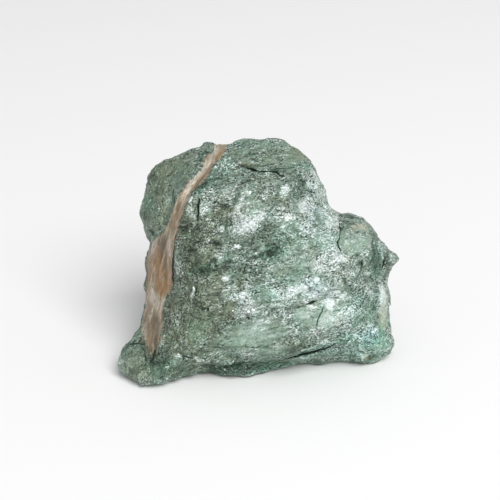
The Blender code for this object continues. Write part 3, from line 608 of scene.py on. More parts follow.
# %% Creases and cracks
# Each line: its points as across, up and width, then its depth.
CREASES = (
    (((-24, -9.4, 0.8), (-19.9, -8.9, 1.4), (-16.2, -7, 1.6), (-10.7, -4.9, 1.4), (-8.6, -3.6, 1),
      (-4.2, -3.8, 1), (0.4, -2.4, 1.2), (4, -1.6, 1.6), (7.6, 0, 1.4), (10, 0.7, 0.8)), 0.55),
    (((-19.6, 19.8, 0.6), (-14, 19.6, 1), (-9.6, 20.1, 1), (-4.6, 20.6, 0.9), (0, 21.3, 1.2),
      (2.6, 21.8, 0.6)), 0.4),
    (((-2, 11.6, 0.8), (2.6, 11.2, 1), (6.4, 12.4, 1.2), (9.4, 14.4, 0.8)), 0.35),
    (((-5.6, 30.4, 0.8), (0, 30, 1), (5, 30.7, 1.2), (8.6, 31.3, 1.2), (11.4, 32, 0.6)), 0.5),
    (((19.6, -5.4, 0.8), (20.6, -2.4, 1.2), (20.2, 0.6, 1), (20.9, 3.4, 0.6)), 0.4),
    (((-13.2, -19, 0.8), (-10.4, -23.6, 1.4), (-8.8, -27.2, 1.4), (-10.2, -30.4, 0.8)), 0.35),
    (((29, 3.2, 0.5), (33, 3.5, 0.8), (37, 3.2, 0.5)), 0.22),
    (((30.4, 0.4, 0.5), (34, 0.8, 0.8), (37.4, 0.2, 0.5)), 0.22),
    (((39.4, 4.6, 0.8), (38.6, 2.4, 1.2), (39, -1.4, 1.4), (37.6, -5.4, 1.4), (35.8, -8.6, 1)), 0.5),
    (((29, -9.2, 0.8), (31.6, -12.6, 1.4), (30.6, -16.4, 1)), 0.4),
    (((40.2, -10.4, 1), (40.6, -16, 1.4), (41.2, -22.6, 1.4), (38.4, -27, 1)), 0.5),
    (((-6.6, 13.2, 1), (-8.6, 13.8, 2), (-10.6, 13.4, 1)), 0.6),
    (((-12, 2, 1), (-10.4, 2, 2), (-8.8, 1.6, 1)), 0.5),
    (((-23, 26.2, 0.6), (-25.6, 24.4, 1), (-27.6, 21.6, 1), (-28.4, 17, 0.6)), 0.3),
    (((-2.8, 26.2, 0.8), (-1, 25.8, 1.4), (0.4, 25.2, 1)), 0.6),
    (((-27.3, 5.6, 0.3), (-26.9, 2.6, 0.6), (-26.2, -0.8, 0.6), (-25.7, -4, 0.5), (-25.3, -7.4, 0.3)), 0.3),
    (((12.4, 22.6, 0.8), (13.4, 21.8, 1.6), (15.2, 18.6, 1.4), (16.4, 17.4, 0.8)), 0.4),
)
CRACKS = (
    # the deep one above the bottom edge
    (((11, -34.6, 0.3), (13.6, -34, 0.7), (15.6, -33.4, 0.9), (17.9, -32.8, 1.3),
      (20.3, -32.4, 1.4), (22.7, -31.6, 1), (24.9, -31, 0.6), (27, -29.6, 0.3)), 2),
    # along the shoulder
    (((28.2, 9.6, 0.3), (28.2, 8, 0.5), (28.3, 6.4, 0.6), (28, 5, 0.4), (27.5, 3.4, 0.4),
      (27, 2.4, 0.6), (27.1, 1.3, 0.6), (27.8, 0.2, 0.5), (28.1, -0.4, 0.3)), 1.3),
    (((28.1, -0.6, 0.25), (29, -1.7, 0.4), (30.4, -2.4, 0.4), (33, -2.7, 0.3)), 0.7),
    (((22.5, 1.9, 0.25), (24.4, 2.2, 0.4), (26.4, 2.1, 0.3)), 0.7),
    (((28.4, 6.6, 0.3), (29.4, 6.7, 0.6), (30.4, 6.6, 0.3)), 0.6),
    # under the top slab: a hole, then a thin line to its right
    (((-0.8, 25.4, 0.3), (0.4, 25.1, 0.7), (1.5, 24.8, 1.4), (2.5, 24.6, 0.5)), 1.6),
    (((2.8, 24.4, 0.3), (3.9, 24.3, 0.5), (6.2, 24.3, 0.5), (8.5, 24.1, 0.6), (9.2, 23.1, 0.6),
      (10.4, 22.9, 0.4)), 1.4),
    (((6.5, 24.8, 0.3), (8.6, 25.4, 0.6), (10.4, 25.3, 0.4), (12.4, 25.5, 0.3)), 0.9),
    (((15.2, 26.8, 0.3), (16, 26.5, 0.6), (17, 26.3, 0.3)), 0.6),
    (((16.2, 27.4, 0.3), (17.4, 27.8, 0.6), (18.6, 27.7, 0.3)), 0.7),
    (((14.9, 21.4, 0.3), (16.1, 21.6, 0.8), (17.3, 21.5, 0.4)), 0.8),
    (((17.3, 18.8, 0.3), (18.6, 18.3, 0.7), (20.8, 17.8, 0.3)), 1),
    # beside the vein
    (((-15.7, 15.8, 0.4), (-15.9, 13.5, 0.9), (-16, 11.2, 0.7), (-16.1, 10, 0.3)), 1.5),
    (((-23.1, 4.7, 0.3), (-23.5, 1.7, 0.4), (-23.8, -1.5, 0.7), (-24, -5, 0.9),
      (-24.1, -9, 0.8), (-23.9, -11.5, 0.4)), 0.9),
    (((-20.5, 12.2, 0.3), (-20.9, 10.6, 0.6), (-21.6, 8.6, 0.3)), 0.6),
    (((-23.2, 18, 0.3), (-23.5, 16.4, 0.7), (-23.7, 14.4, 0.3)), 0.7),
    (((-22.7, 19.8, 0.3), (-21.2, 20.6, 0.6), (-19.9, 21.5, 0.3)), 0.7),
    (((-26.8, 20.6, 0.3), (-25.6, 20.3, 0.7), (-24.7, 20.1, 0.3)), 0.7),
    (((-16.9, -10.6, 0.3), (-16.6, -12.4, 0.7), (-17, -14.6, 0.3)), 0.8),
    (((-18.8, -0.1, 0.3), (-17.6, 0, 0.7), (-16.4, 0, 0.3)), 0.6),
    # towards the horn
    (((43.4, -0.2, 0.3), (43.3, -2.4, 0.6), (43, -4.3, 1.1), (42.4, -6.4, 0.4)), 0.8),
    (((36.8, -8.9, 0.3), (38.4, -8.9, 0.7), (39.2, -9.8, 0.4)), 0.7),
    (((34.9, -3.4, 0.4), (35.1, -4.6, 1.1), (34.7, -6.4, 0.5)), 0.7),
    # the lower right
    (((22.9, -17.8, 0.3), (22.2, -19.1, 0.5), (21.4, -20.8, 0.6), (20.8, -22.4, 0.5),
      (20.6, -23.6, 0.3)), 1.2),
    (((17.2, -16.9, 0.3), (18.2, -16.6, 0.6), (19, -16.2, 1.1), (20, -15.8, 0.4)), 1),
    (((12.6, -18.3, 0.3), (14.8, -17.7, 0.6), (16.4, -17.3, 0.4)), 0.6),
    (((20.9, -15.7, 0.3), (22.4, -15.4, 0.5), (24.4, -14.8, 0.3)), 0.6),
    (((9.6, -25.5, 0.3), (13, -24.2, 0.5), (15, -23.4, 0.7), (16.2, -22.4, 0.3)), 0.6),
    (((26.2, -6, 0.3), (28, -7.8, 0.5), (30, -9.7, 0.3)), 0.6),
    # the lower wave and the lip along the bottom
    (((-9.4, -31, 0.3), (-4, -30.5, 0.5), (0, -30.2, 0.7), (4, -30.6, 0.5), (9, -28.5, 0.5),
      (12, -27.4, 0.6), (14.5, -27, 0.9), (16, -28.4, 0.8), (17.6, -29.8, 0.4)), 0.4),
    (((-17.2, -37.2, 0.3), (-14, -36.6, 0.6), (-10.5, -36.3, 0.6), (-6.6, -36.6, 0.7),
      (-3.2, -36, 1), (0.4, -35.4, 0.5)), 0.5),
    (((3.4, -37.8, 0.4), (5, -37.2, 1), (7.6, -36, 0.6), (11, -34.6, 0.4)), 0.5),
    # at the foot
    (((-39.6, -30.4, 0.3), (-37.2, -30, 0.7), (-35.4, -29.6, 0.9), (-34.9, -28.4, 0.4)), 0.8),
    (((-35, -30.6, 0.3), (-33.4, -32, 0.6), (-32.8, -33.8, 0.9), (-33, -36.4, 0.4)), 0.7),
    (((-29.5, -31.2, 0.4), (-30.2, -32.8, 0.9), (-30.9, -34.6, 0.8), (-31.5, -36.2, 0.3)), 0.8),
    (((-21.8, -32.4, 0.3), (-20, -33.6, 0.7), (-17.6, -34.2, 0.7), (-15.4, -34.5, 0.3)), 0.7),
    (((-13.4, -30.1, 0.3), (-11, -30.3, 0.6), (-8.4, -30.6, 0.6), (-7.8, -31.6, 0.3)), 0.6),
)
print("lines:", len(CREASES), "creases and", len(CRACKS), "cracks")

# %% [markdown]
# ## Cutting the lines
# A crease is wide enough for the skin's own squares. A crack is finer than them, so the faces
# along it are subdivided first. Then the vertices near its line are pushed in, deepest on the
# line itself. A Boolean with a thin blade would also cut it, but it leaves long slivers, and the
# edges of a real crack are a little worn.

# %% Cutting the lines
CRACK_CUTS = 2
CREASE_EDGE = 0.5
CREASE_GAPS = 0.9
CRACK_EDGE = 0.1


def line_reach(path, spots):
    """Distance of each spot from a line of points, and the width of the line there."""
    path = np.asarray(path, float)
    nearest = np.full(len(spots), np.inf)
    width = np.zeros(len(spots))
    for start, end in zip(path, path[1:]):
        part, gap = nearest_on(start[:2], end[:2], spots)
        reach = np.hypot(gap[:, 0], gap[:, 1])
        closer = reach < nearest
        nearest[closer] = reach[closer]
        width[closer] = (start[2] + part * (end[2] - start[2]))[closer]
    return nearest, width


def line_depth(points, outward, lines, edge, gaps=0.0):
    """How deep the lines are cut at each point of the front.

    Edge is how far they fade to the sides in mm, and gaps is how much noise breaks them up.
    """
    placed = to_face(points)[:, :2]
    placed += 0.28 * np.column_stack((rough(points, 1.3, 37.0), rough(points, 1.3, 41.0)))
    swell = rough(points, 1.7, 43.0)
    deepest = np.zeros(len(points))
    for path, depth in lines:
        reach, width = line_reach(path, placed)
        width = np.maximum(width * (0.75 + 0.3 * swell), 0.3)
        cut = 1.0 - ease_step(reach, 0.0, 0.5 * width + edge)
        deepest = np.maximum(deepest, depth * np.minimum(width / 0.6, 1.0) * cut)
    kept = 1.0 - gaps * ease_step(rough(points, 3.4, 49.0), -0.3, 0.35)
    return deepest * kept * (outward @ FACE_AXES[2] > -0.1)


def refine(near):
    """Subdivides the faces that touch any of the near vertices."""
    select_only(rock)
    bpy.ops.object.mode_set(mode="EDIT")
    bpy.ops.mesh.select_mode(type="FACE")
    bpy.ops.mesh.select_all(action="DESELECT")
    bpy.ops.object.mode_set(mode="OBJECT")
    touched = [bool(near[list(face.vertices)].any()) for face in rock.data.polygons]
    rock.data.polygons.foreach_set("select", touched)
    bpy.ops.object.mode_set(mode="EDIT")
    bpy.ops.mesh.subdivide(number_cuts=CRACK_CUTS)
    bpy.ops.object.mode_set(mode="OBJECT")


points = skin_points()
outward = skin_normals()
creased = line_depth(points, outward, CREASES, CREASE_EDGE, CREASE_GAPS)
move_skin(points - creased[:, None] * FACE_AXES[2])
refine(line_depth(skin_points(), skin_normals(), CRACKS, CRACK_EDGE) > 0.02)
points = skin_points()
outward = skin_normals()
cracked = line_depth(points, outward, CRACKS, CRACK_EDGE)
move_skin(set_down(points - cracked[:, None] * FACE_AXES[2]))
print("cracks down to", round(float(cracked.max()), 1), "mm;", len(rock.data.polygons), "faces")

# %% [markdown]
# ## Masks for the colours
# The colours are worked out in the material, but what belongs to a place is kept on the mesh as
# attributes: one number at each vertex, which the material reads by name. *hollow* is how far a
# point lies below the skin around it, and *turned* is how far it faces away from the front.

# %% Masks for the colours


def keep_mask(name, values):
    layer = rock.data.attributes.new(name, "FLOAT", "POINT")
    layer.data.foreach_set("value", np.asarray(values, np.float32))


def hollowness(points, outward, edges, times):
    around = relax(points, edges, times)
    return ((around - points) * outward).sum(axis=1)


edges = skin_edges()
points = skin_points()
outward = skin_normals()
placed = to_face(points)
run, aside = along_line(VEIN_LINE, placed[:, :2])
far_run, far_aside = sheet_aside(points)
far = placed[:, 2] < SHEET_START
run[far] = far_run[far]
aside[far] = far_aside[far]
keep_mask("vein", np.clip(vein_depth(points, outward, edges), -5.0, 5.0))
keep_mask("vein_run", run)
keep_mask("vein_aside", aside)
for name, shapes in (("vein_core", VEIN_CORE), ("vein_pale", VEIN_LIGHT), ("vein_dim", VEIN_DIM)):
    keep_mask(name, ovals(placed[:, :2], shapes) * ~far)
keep_mask("hollow", hollowness(points, outward, edges, 12))
keep_mask("hollow_fine", hollowness(points, outward, edges, 2))
keep_mask("crack", cracked)
keep_mask("crease", line_depth(points, outward, CREASES, CREASE_EDGE, CREASE_GAPS))
for name, kind in GROUNDS.items():
    keep_mask(name, ground(points, outward, *kind))
# Broad painted light, less broad painted shade.
keep_mask("sunny", ovals(placed[:, :2], SUNNY, 0.8) - ovals(placed[:, :2], GLOOMY, 0.8))
keep_mask("turned", 1.0 - ease_step(outward @ FACE_AXES[2], -0.2, 0.2))
print("masks:", [layer.name for layer in rock.data.attributes if layer.data_type == "FLOAT"])

# %% [markdown]
# ## Node helpers
# A material is a graph of small nodes, and a sum in it takes one node for each sign. Wired by
# hand, the stone's recipe would be hundreds of lines. Here a Field stands for a node's output
# and each plain sign adds the Math node, so the recipe can be read as sums.

# %% Node helpers


class Field:
    """A value that changes over the surface, which plain signs can add, subtract and multiply."""

    def __init__(self, socket):
        self.socket = socket
        self.tree = socket.id_data

    def __add__(self, other):
        return calculate("ADD", self, other)

    def __sub__(self, other):
        return calculate("SUBTRACT", self, other)

    def __rsub__(self, other):
        return calculate("SUBTRACT", other, self)

    def __mul__(self, other):
        return calculate("MULTIPLY", self, other)

    __radd__ = __add__
    __rmul__ = __mul__


def wire(socket, value):
    """Links a field to the socket, or sets the socket to a plain value."""
    if isinstance(value, Field):
        value.tree.links.new(value.socket, socket)
    else:
        socket.default_value = value


def add(tree, kind, *values, **settings):
    """Adds a node with its settings and first inputs. None leaves an input alone."""
    made = tree.nodes.new(kind)
    for setting, value in settings.items():
        setattr(made, setting, value)
    for socket, value in zip(made.inputs, values):
        if value is not None:
            wire(socket, value)
    return made


def fill(made, values, output=0):
    """Wires a node's inputs by name or place, and gives one of its outputs."""
    for name, value in values.items():
        wire(made.inputs[name], value)
    return Field(made.outputs[output])


def tree_of(*values):
    return next(value.tree for value in values if isinstance(value, Field))


def calculate(operation, *values, clamp=False):
    made = add(tree_of(*values), "ShaderNodeMath", *values, operation=operation, use_clamp=clamp)
    return Field(made.outputs[0])


print("fields and wires are ready")

# %% [markdown]
# ## Ranges, mixes, noise and masks
# Few kinds of node do most of the work. Map Range turns one range of values into another, Mix
# lays one colour over another, and Noise gives a soft random value at each place. An Attribute
# node reads one of the masks that the mesh keeps.

# %% Ranges, mixes, noise and masks


def between(value, low, high, to_low=0.0, to_high=1.0):
    """Maps low to high onto to_low to to_high, easing in and out, and level beyond them."""
    return fill(add(value.tree, "ShaderNodeMapRange", interpolation_type="SMOOTHSTEP"), {
        "Value": value, "From Min": low, "From Max": high, "To Min": to_low, "To Max": to_high})


def mix(part, first, second, blend="MIX"):
    made = add(tree_of(part, first, second), "ShaderNodeMix", data_type="RGBA", blend_type=blend)
    return fill(made, {0: part, 6: first, 7: second}, output=2)


def noise_at(where, scale, detail=2.0, roughness=0.5, distortion=0.0):
    return fill(add(where.tree, "ShaderNodeTexNoise"), {
        "Vector": where, "Scale": scale, "Detail": detail, "Roughness": roughness,
        "Distortion": distortion})


def masks_of(tree, *names):
    return [Field(add(tree, "ShaderNodeAttribute", attribute_name=name).outputs["Fac"])
            for name in names]


def new_material(name):
    """A new material, its node tree, and its shader's inputs."""
    made = bpy.data.materials.new(name)
    made.use_nodes = True
    return made, made.node_tree, made.node_tree.nodes["Principled BSDF"].inputs


def paint(red, green, blue):
    """A colour from its 0 to 255 values as a screen shows it."""
    return tuple(((c / 255 + 0.055) / 1.055) ** 2.4 for c in (red, green, blue)) + (1.0,)


print("white paint is", paint(255, 255, 255))

# %% [markdown]
# ## Stretched coordinates
# Mica lies in layers, so its grain is long along them and thin across them. A Mapping node set to
# Texture turns the object's coordinates into face coordinates in millimetres, and a second one
# turns and squeezes them so that plain noise comes out as streaks.

# %% Stretched coordinates


def mapped(where, **values):
    return fill(add(where.tree, "ShaderNodeMapping", where, vector_type="TEXTURE"), values)


def face_coordinates(tree):
    where = Field(add(tree, "ShaderNodeTexCoord").outputs["Object"])
    return mapped(where, Location=FACE_ZERO * MM, Rotation=(math.pi / 2 - LEAN, 0.0, 0.0),
                  Scale=(MM, MM, MM))


def stretched(where, turn, size):
    """Coordinates turned in the face by degrees, one unit to each size in mm."""
    return mapped(where, Rotation=(0.0, 0.0, math.radians(turn)), Scale=size)


print("face coordinates lean by", round(math.degrees(LEAN)), "degrees")

# %% [markdown]
# ## The mica flakes as a node group
# Glitter is many tiny mirrors that each face their own way. A Voronoi texture gives every cell a
# random colour, and the group turns it into three things: how bright the flake is, its chance to
# glint, and a normal that is tipped by it. The normal goes to the shader, so the light makes
# glints, and the chance to glint also puts painted glints into the colour as painted highlights.

# %% The mica flakes as a node group


def new_group(name, inputs, outputs):
    """An empty group, its inputs as fields, and the sockets its results go to."""
    group = bpy.data.node_groups.new(name, "ShaderNodeTree")
    for label, kind in inputs:
        group.interface.new_socket(name=label, in_out="INPUT", socket_type="NodeSocket" + kind)
    for label, kind in outputs:
        group.interface.new_socket(name=label, in_out="OUTPUT", socket_type="NodeSocket" + kind)
    given = {socket.name: Field(socket) for socket in group.nodes.new("NodeGroupInput").outputs
             if socket.name}
    return group, given, group.nodes.new("NodeGroupOutput").inputs


def make_flake_group():
    group, given, result = new_group(
        "Mica flakes",
        (("Where", "Vector"), ("Flakes per unit", "Float"), ("Tip", "Float"), ("Normal", "Vector")),
        (("Shine", "Float"), ("Chance", "Float"), ("Normal", "Vector")))

    def steer(operation, *values):
        return Field(add(group, "ShaderNodeVectorMath", *values, operation=operation).outputs[0])

    cell = fill(add(group, "ShaderNodeTexVoronoi"),
                {"Vector": given["Where"], "Scale": given["Flakes per unit"]}, "Color")
    parts = add(group, "ShaderNodeSeparateColor", cell).outputs
    centred = steer("SUBTRACT", cell, (0.5, 0.5, 0.5))
    tipped = steer("SCALE", centred, None, None, given["Tip"])
    wire(result["Shine"], Field(parts[0]))
    wire(result["Chance"], Field(parts[1]))
    wire(result["Normal"], steer("NORMALIZE", steer("ADD", tipped, given["Normal"])))
    return group


def flakes(where, fine, tip, normal):
    """The flake group's outputs as fields, with so many flakes to a unit of the coordinates."""
    made = add(where.tree, "ShaderNodeGroup", node_tree=flake_group)
    fill(made, {"Where": where, "Flakes per unit": fine, "Tip": tip, "Normal": normal})
    return {socket.name: Field(socket) for socket in made.outputs}


flake_group = make_flake_group()
print("node group:", flake_group.name)

# %% [markdown]
# ## The stone's material
# One Principled shader does the whole stone. Schist and vein could be two materials, but then
# their border would follow the mesh. Here the vein is a mask whose edge the noise can fray.

# %% The colours of the stone
# The schist's shades from its darkest grain to bare mica: where each sits, and its colour.
SCHIST_SHADES = (
    (0.0, paint(26, 43, 31)), (0.2, paint(64, 84, 67)), (0.4, paint(103, 122, 106)),
    (0.55, paint(130, 152, 136)), (0.7, paint(155, 177, 164)), (0.85, paint(195, 211, 204)),
    (1.0, paint(240, 246, 247)),
)
# Painted highlight on raised edges, where flake edges catch the light.
PAINTED_EDGE_HIGHLIGHT = SCHIST_SHADES[-2][1]
BROWN_TINT = (1.0, 0.84, 0.7, 1.0)
TEAL_TINT = (0.72, 1.05, 0.96, 1.0)
BLUE_TINT = (0.82, 0.96, 1.08, 1.0)
BEIGE_TONE = paint(180, 176, 153)
# Painted shade for hollows, cracks, creases and the vein's border.
PAINTED_CRACK_SHADE = paint(24, 41, 33)
VEIN_TAN = paint(163, 149, 127)
VEIN_ORANGE = paint(158, 119, 73)
VEIN_PALE = paint(200, 192, 176)
# The vein's darker threads, and its painted shade.
VEIN_THREADS_AND_SHADE = paint(104, 95, 76)
VEIN_ROUGHNESS = 0.55
STONE_SHINE = 0.6
BUMP_MM = 0.4
# Flakes: the turn of their coordinates in degrees, a unit of them in mm, and flakes to a unit.
GRAIN_TURN = 14.0
GRAIN_SIZE = (1.3, 0.86, 0.86)
PLATE_TURN = 22.0
PLATE_SIZE = (2.4, 1.2, 1.2)
GLITTER_FLAKES = 1.9
DUST_FLAKES = 3.5
PLATE_FLAKES = 1.0
# How light the schist is where nothing else changes it, and what each thing adds at its fullest.
MIDDLE_TONE = 0.523
# The silvery ground's lift: the mica's silver and a painted highlight.
SILVER_AND_HIGHLIGHT = 0.36
# The dark ground's painted shade.
SHADED = -0.36
# Broad painted light and painted shade, from the sunny mask.
SUNLIT = 0.13
# Painted shade of hairline cracks: thin dark lines with no cut in the mesh.
HAIRLINE_SHADE = -0.58
print("shades of schist:", len(SCHIST_SHADES))

# %% [markdown]
# ## The schist
# How light a spot is comes first, as one value: slow mottling, the silky streaks of the layers,
# thin dark lines of painted shade like hairline cracks, the silvery ground's painted highlight, the
# dark ground's painted shade, broad painted light and shade, painted glints, and then the fine
# grain. A colour ramp turns the value into green, and the tints of the ground go over it.

# %% The schist


def off_centre(texture, gain):
    """A texture's value less its middle, times gain."""
    return (texture - 0.5) * gain


def shades(value, stops):
    made = add(value.tree, "ShaderNodeValToRGB", value)
    ramp = made.color_ramp
    # A new ramp already has two stops.
    for place, (where, colour) in enumerate(stops):
        stop = ramp.elements[place] if place < 2 else ramp.elements.new(where)
        stop.position = where
        stop.color = colour
    return Field(made.outputs[0])


def streaks_of(face, length, width, detail):
    """The grain of the layers: upright by the vein and nearly level in the middle."""
    level, upright = (
        noise_at(stretched(face, turn, (length, width, width)), 1.0, detail, 0.65, 0.5)
        for turn in (17.0, 72.0))
    across = Field(add(face.tree, "ShaderNodeSeparateXYZ", face).outputs[0])
    return mix(between(across, -17.0, -9.0, 1.0, 0.0), level, upright)


def hairlines_of(silk, mottle):
    """Thin dark lines of painted shade, like hairline cracks, where a slow noise passes its middle, here
    and there.
    """
    shade_line = calculate("ABSOLUTE", silk - 0.5)
    return between(shade_line, 0.0, 0.026, 1.0, 0.0) * between(mottle, 0.44, 0.56)


def grain_of(face, dust, streak, broad, matte, bright):
    """The fine grain: single flakes, hair-thin streaks, and a few dark and pale lines."""
    crisp, turned, teal = masks_of(face.tree, "crisp", "turned", "teal")
    hairs = streaks_of(face, 1.1, 0.28, 2.0)
    fine = off_centre(dust["Shine"], 0.9) + off_centre(hairs, 1.5)
    fine += between(streak, 0.43, 0.57, -0.06, 0.06)
    fine += between(streak, 0.38, 0.32, 0.0, -0.32)
    fine += between(streak, 0.62, 0.74, 0.0, 0.16)
    busy = broad + 0.06 * teal - 0.06 * matte
    calm = between(busy, 0.4, 0.58, 0.36, 1.25) * between(matte, 0.0, 1.0, 1.0, 0.32)
    calm *= between(bright, 0.4, 1.0, 1.0, 0.5)
    calm *= between(crisp, 0.0, 1.0, 0.92, 1.7)
    calm *= between(turned, 0.0, 1.0, 1.0, 0.6)
    return fine * calm


def schist_value(face, streak, silk, mottle):
    """How light the schist is, from 0 to 1."""
    matte, bright, dark, sunny, brown = masks_of(
        face.tree, "matte", "bright", "dark", "sunny", "brown")
    plain = Field(add(face.tree, "ShaderNodeNewGeometry").outputs["Normal"])
    grain_cells = stretched(face, GRAIN_TURN, GRAIN_SIZE)
    glitter = flakes(grain_cells, GLITTER_FLAKES, 0.9, plain)
    dust = flakes(grain_cells, DUST_FLAKES, 0.9, plain)
    plates = flakes(stretched(face, PLATE_TURN, PLATE_SIZE), PLATE_FLAKES, 0.4, plain)
    broad = noise_at(face, 0.2, 3.0, 0.6)

    value = off_centre(mottle, 0.41) + off_centre(broad, 0.25) + off_centre(silk, 0.5)
    value *= between(matte, 0.0, 1.0, 1.0, 0.75)
    value += off_centre(plates["Shine"], 0.07)
    # Hairline cracks as painted shade.
    value += HAIRLINE_SHADE * hairlines_of(silk, mottle) + MIDDLE_TONE
    # Painted light and shade go into the value: the silvery ground's highlight, the dark ground's shade,
    # and the broad sunny and gloomy parts.
    value += SILVER_AND_HIGHLIGHT * bright + SHADED * dark + SUNLIT * sunny
    # Dark ground has no bright grains.
    grain = grain_of(face, dust, streak, broad, matte, bright)
    value += calculate("MINIMUM", grain, value * 0.55)
    # Painted glints: single grains made lighter in the colour, most on silvery ground.
    painted_sparkle = between(glitter["Chance"] + 0.3 * bright, 0.86, 1.0, 0.0, 0.28)
    dull = calculate("MAXIMUM", matte, 0.8 * brown)
    painted_sparkle *= between(dull, 0.3, 1.0, 1.0, 0.2)
    return calculate("ADD", value, painted_sparkle, clamp=True)


def schist_colour(face, streak):
    """The schist's colour, and how light it is, which also steers its gloss."""
    brown, teal, blue, beige = masks_of(face.tree, "brown", "teal", "blue", "beige")
    silk = streaks_of(face, 7.0, 1.5, 2.0)
    mottle = noise_at(stretched(face, 20.0, (2.8, 1.6, 1.6)), 1.0, 4.0, 0.65)
    value = schist_value(face, streak, silk, mottle)
    hue = noise_at(stretched(face, 40.0, (4.6, 3.0, 4.0)), 1.0, 3.0, 0.55)
    green_glint = between(value, 0.6, 0.85, 1.0, 0.2)
    colour = shades(value, SCHIST_SHADES)
    for part, tint in (
            (between(hue, 0.48, 0.34, 0.0, 0.4) * green_glint, BROWN_TINT),
            (between(hue, 0.52, 0.66, 0.0, 0.3) * green_glint, TEAL_TINT),
            (brown * between(mottle, 0.3, 0.6, 1.0, 0.75) * green_glint, BROWN_TINT),
            (teal * between(value, 0.6, 0.9, 1.0, 0.5), TEAL_TINT),
            (blue, BLUE_TINT)):
        colour = mix(part, colour, mix(1.0, colour, tint, "MULTIPLY"))
    return mix(beige * between(silk, 0.4, 0.6, 0.25, 0.7), colour, BEIGE_TONE), value


print("the schist's recipe is ready")

# %% [markdown]
# ## The feldspar, and the stone as a whole
# The vein's colours run along it, so their noise reads how far along and beside the vein a point
# is instead of where it is on the face. Then the vein goes over the schist, hollows, cracks, creases
# and the vein's border get painted shade, raised edges a painted highlight, and the flakes tip the
# normal one size after the other.

# %% The feldspar, and the stone as a whole


def vein_colour(face, run, aside):
    """The vein's colour, and the threads along it, which also lift its surface."""
    core, pale, dim = masks_of(face.tree, "vein_core", "vein_pale", "vein_dim")
    lines = Field(add(face.tree, "ShaderNodeCombineXYZ", run * 0.16, aside, 0.0).outputs[0])
    wisps = noise_at(lines, 0.9, 5.0, 0.6, 0.8)
    threads = noise_at(lines, 3.0, 3.0, 0.6, 0.3)
    cloud = noise_at(face, 0.5, 3.0, 0.6)
    colour = VEIN_TAN
    for part, tone in (
            (between(wisps, 0.36, 0.54, 0.7, 0.0), VEIN_ORANGE),
            (between(wisps, 0.51, 0.64, 0.0, 0.9), VEIN_PALE),
            (core * between(wisps, 0.4, 0.62, 1.0, 0.7), VEIN_ORANGE),
            (pale, VEIN_PALE),
            (between(cloud, 0.45, 0.65, 0.0, 0.4), VEIN_TAN),
            # Painted shade where the vein is dim, and its own darker threads.
            (calculate("MAXIMUM", dim, between(threads, 0.52, 0.64, 0.0, 0.85)), VEIN_THREADS_AND_SHADE)):
        colour = mix(part, colour, tone)
    worn = between(threads + wisps, 0.8, 1.2, 0.8, 1.16)
    return mix(1.0, colour, worn, "MULTIPLY"), threads


def stone_normal(face, in_vein, height, matte):
    """The bumps of the grain, then flakes of three sizes that each tip the normal."""
    bump = fill(add(face.tree, "ShaderNodeBump"), {
        "Distance": BUMP_MM * MM, "Strength": between(matte, 0.0, 1.0, 1.0, 0.5), "Height": height})
    tip = (1.0 - in_vein) * between(matte, 0.0, 1.0, 0.9, 0.3)
    grain_cells = stretched(face, GRAIN_TURN, GRAIN_SIZE)
    plate_cells = stretched(face, PLATE_TURN, PLATE_SIZE)
    normal = flakes(plate_cells, PLATE_FLAKES, tip * 0.45, bump)["Normal"]
    normal = flakes(grain_cells, GLITTER_FLAKES, tip * 0.4, normal)["Normal"]
    return flakes(grain_cells, DUST_FLAKES, tip, normal)["Normal"]


def make_stone():
    stone, tree, shader = new_material("Fuchsite schist with feldspar vein")
    face = face_coordinates(tree)
    streak = streaks_of(face, 2.4, 0.6, 4.0)
    colour, value = schist_colour(face, streak)

    vein, run, aside, matte = masks_of(tree, "vein", "vein_run", "vein_aside", "matte")
    vein_tone, threads = vein_colour(face, run, aside)
    tail = off_centre(threads, 9.0) * between(run, 58.0, 66.0)
    border = off_centre(noise_at(face, 1.4, 3.0, 0.6), 2.4) + vein + tail
    in_vein = between(border, -0.15, 0.3)
    colour = mix(in_vein, colour, vein_tone)

    hollow, hollow_fine, crack, crease = masks_of(tree, "hollow", "hollow_fine", "crack", "crease")
    # Painted shade: darkening in hollows, cracks and creases, and a dark line along the vein's border.
    shade_line = between(calculate("ABSOLUTE", border + 0.3), 0.1, 0.5, 1.0, 0.0)
    shade = between(hollow, 0.05, 0.6) * 0.5
    for part in (
            between(hollow_fine, 0.02, 0.16) * 0.55,
            between(crack, 0.05, 0.6, 0.0, 0.9),
            between(crease, 0.05, 0.45) * between(streak, 0.4, 0.6, 0.75, 0.25),
            shade_line * between(streak, 0.35, 0.6, 0.7, 0.1)):
        shade = calculate("MAXIMUM", shade, part)
    colour = mix(shade, colour, PAINTED_CRACK_SHADE)
    # Raised edges lightened: a painted highlight.
    colour = mix(between(hollow_fine, -0.14, -0.03, 0.22, 0.0), colour, PAINTED_EDGE_HIGHLIGHT)
    wire(shader["Base Color"], colour)

    gloss = between(value, 0.5, 0.95, 0.6, 0.32)
    wire(shader["Roughness"], gloss + in_vein * (VEIN_ROUGHNESS - gloss))
    shader["Specular IOR Level"].default_value = STONE_SHINE

    fine = noise_at(stretched(face, GRAIN_TURN, (0.9, 0.4, 0.4)), 1.0, 4.0, 0.7)
    height = mix(in_vein, fine * 0.6 + streak * 0.8, threads)
    wire(shader["Normal"], stone_normal(face, in_vein, height, matte))
    return stone


rock.data.materials.append(make_stone())
select_only(rock)
bpy.ops.object.shade_smooth()
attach(rock, "root")
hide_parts(NODE)
print("dressed:", rock.name, "with", rock.data.materials[0].name)

# %% [markdown]
# ## Loose mica flakes
# The brightest glints come from single flakes that stick up from the layers by their edges. One
# flake is a thin six-sided plate. Geometry nodes scatter it over the skin, more of them where the
# ground is silvery, turn each one its own way, and make them real mesh. Placing them by hand
# would give the same piece, but there are over a thousand.

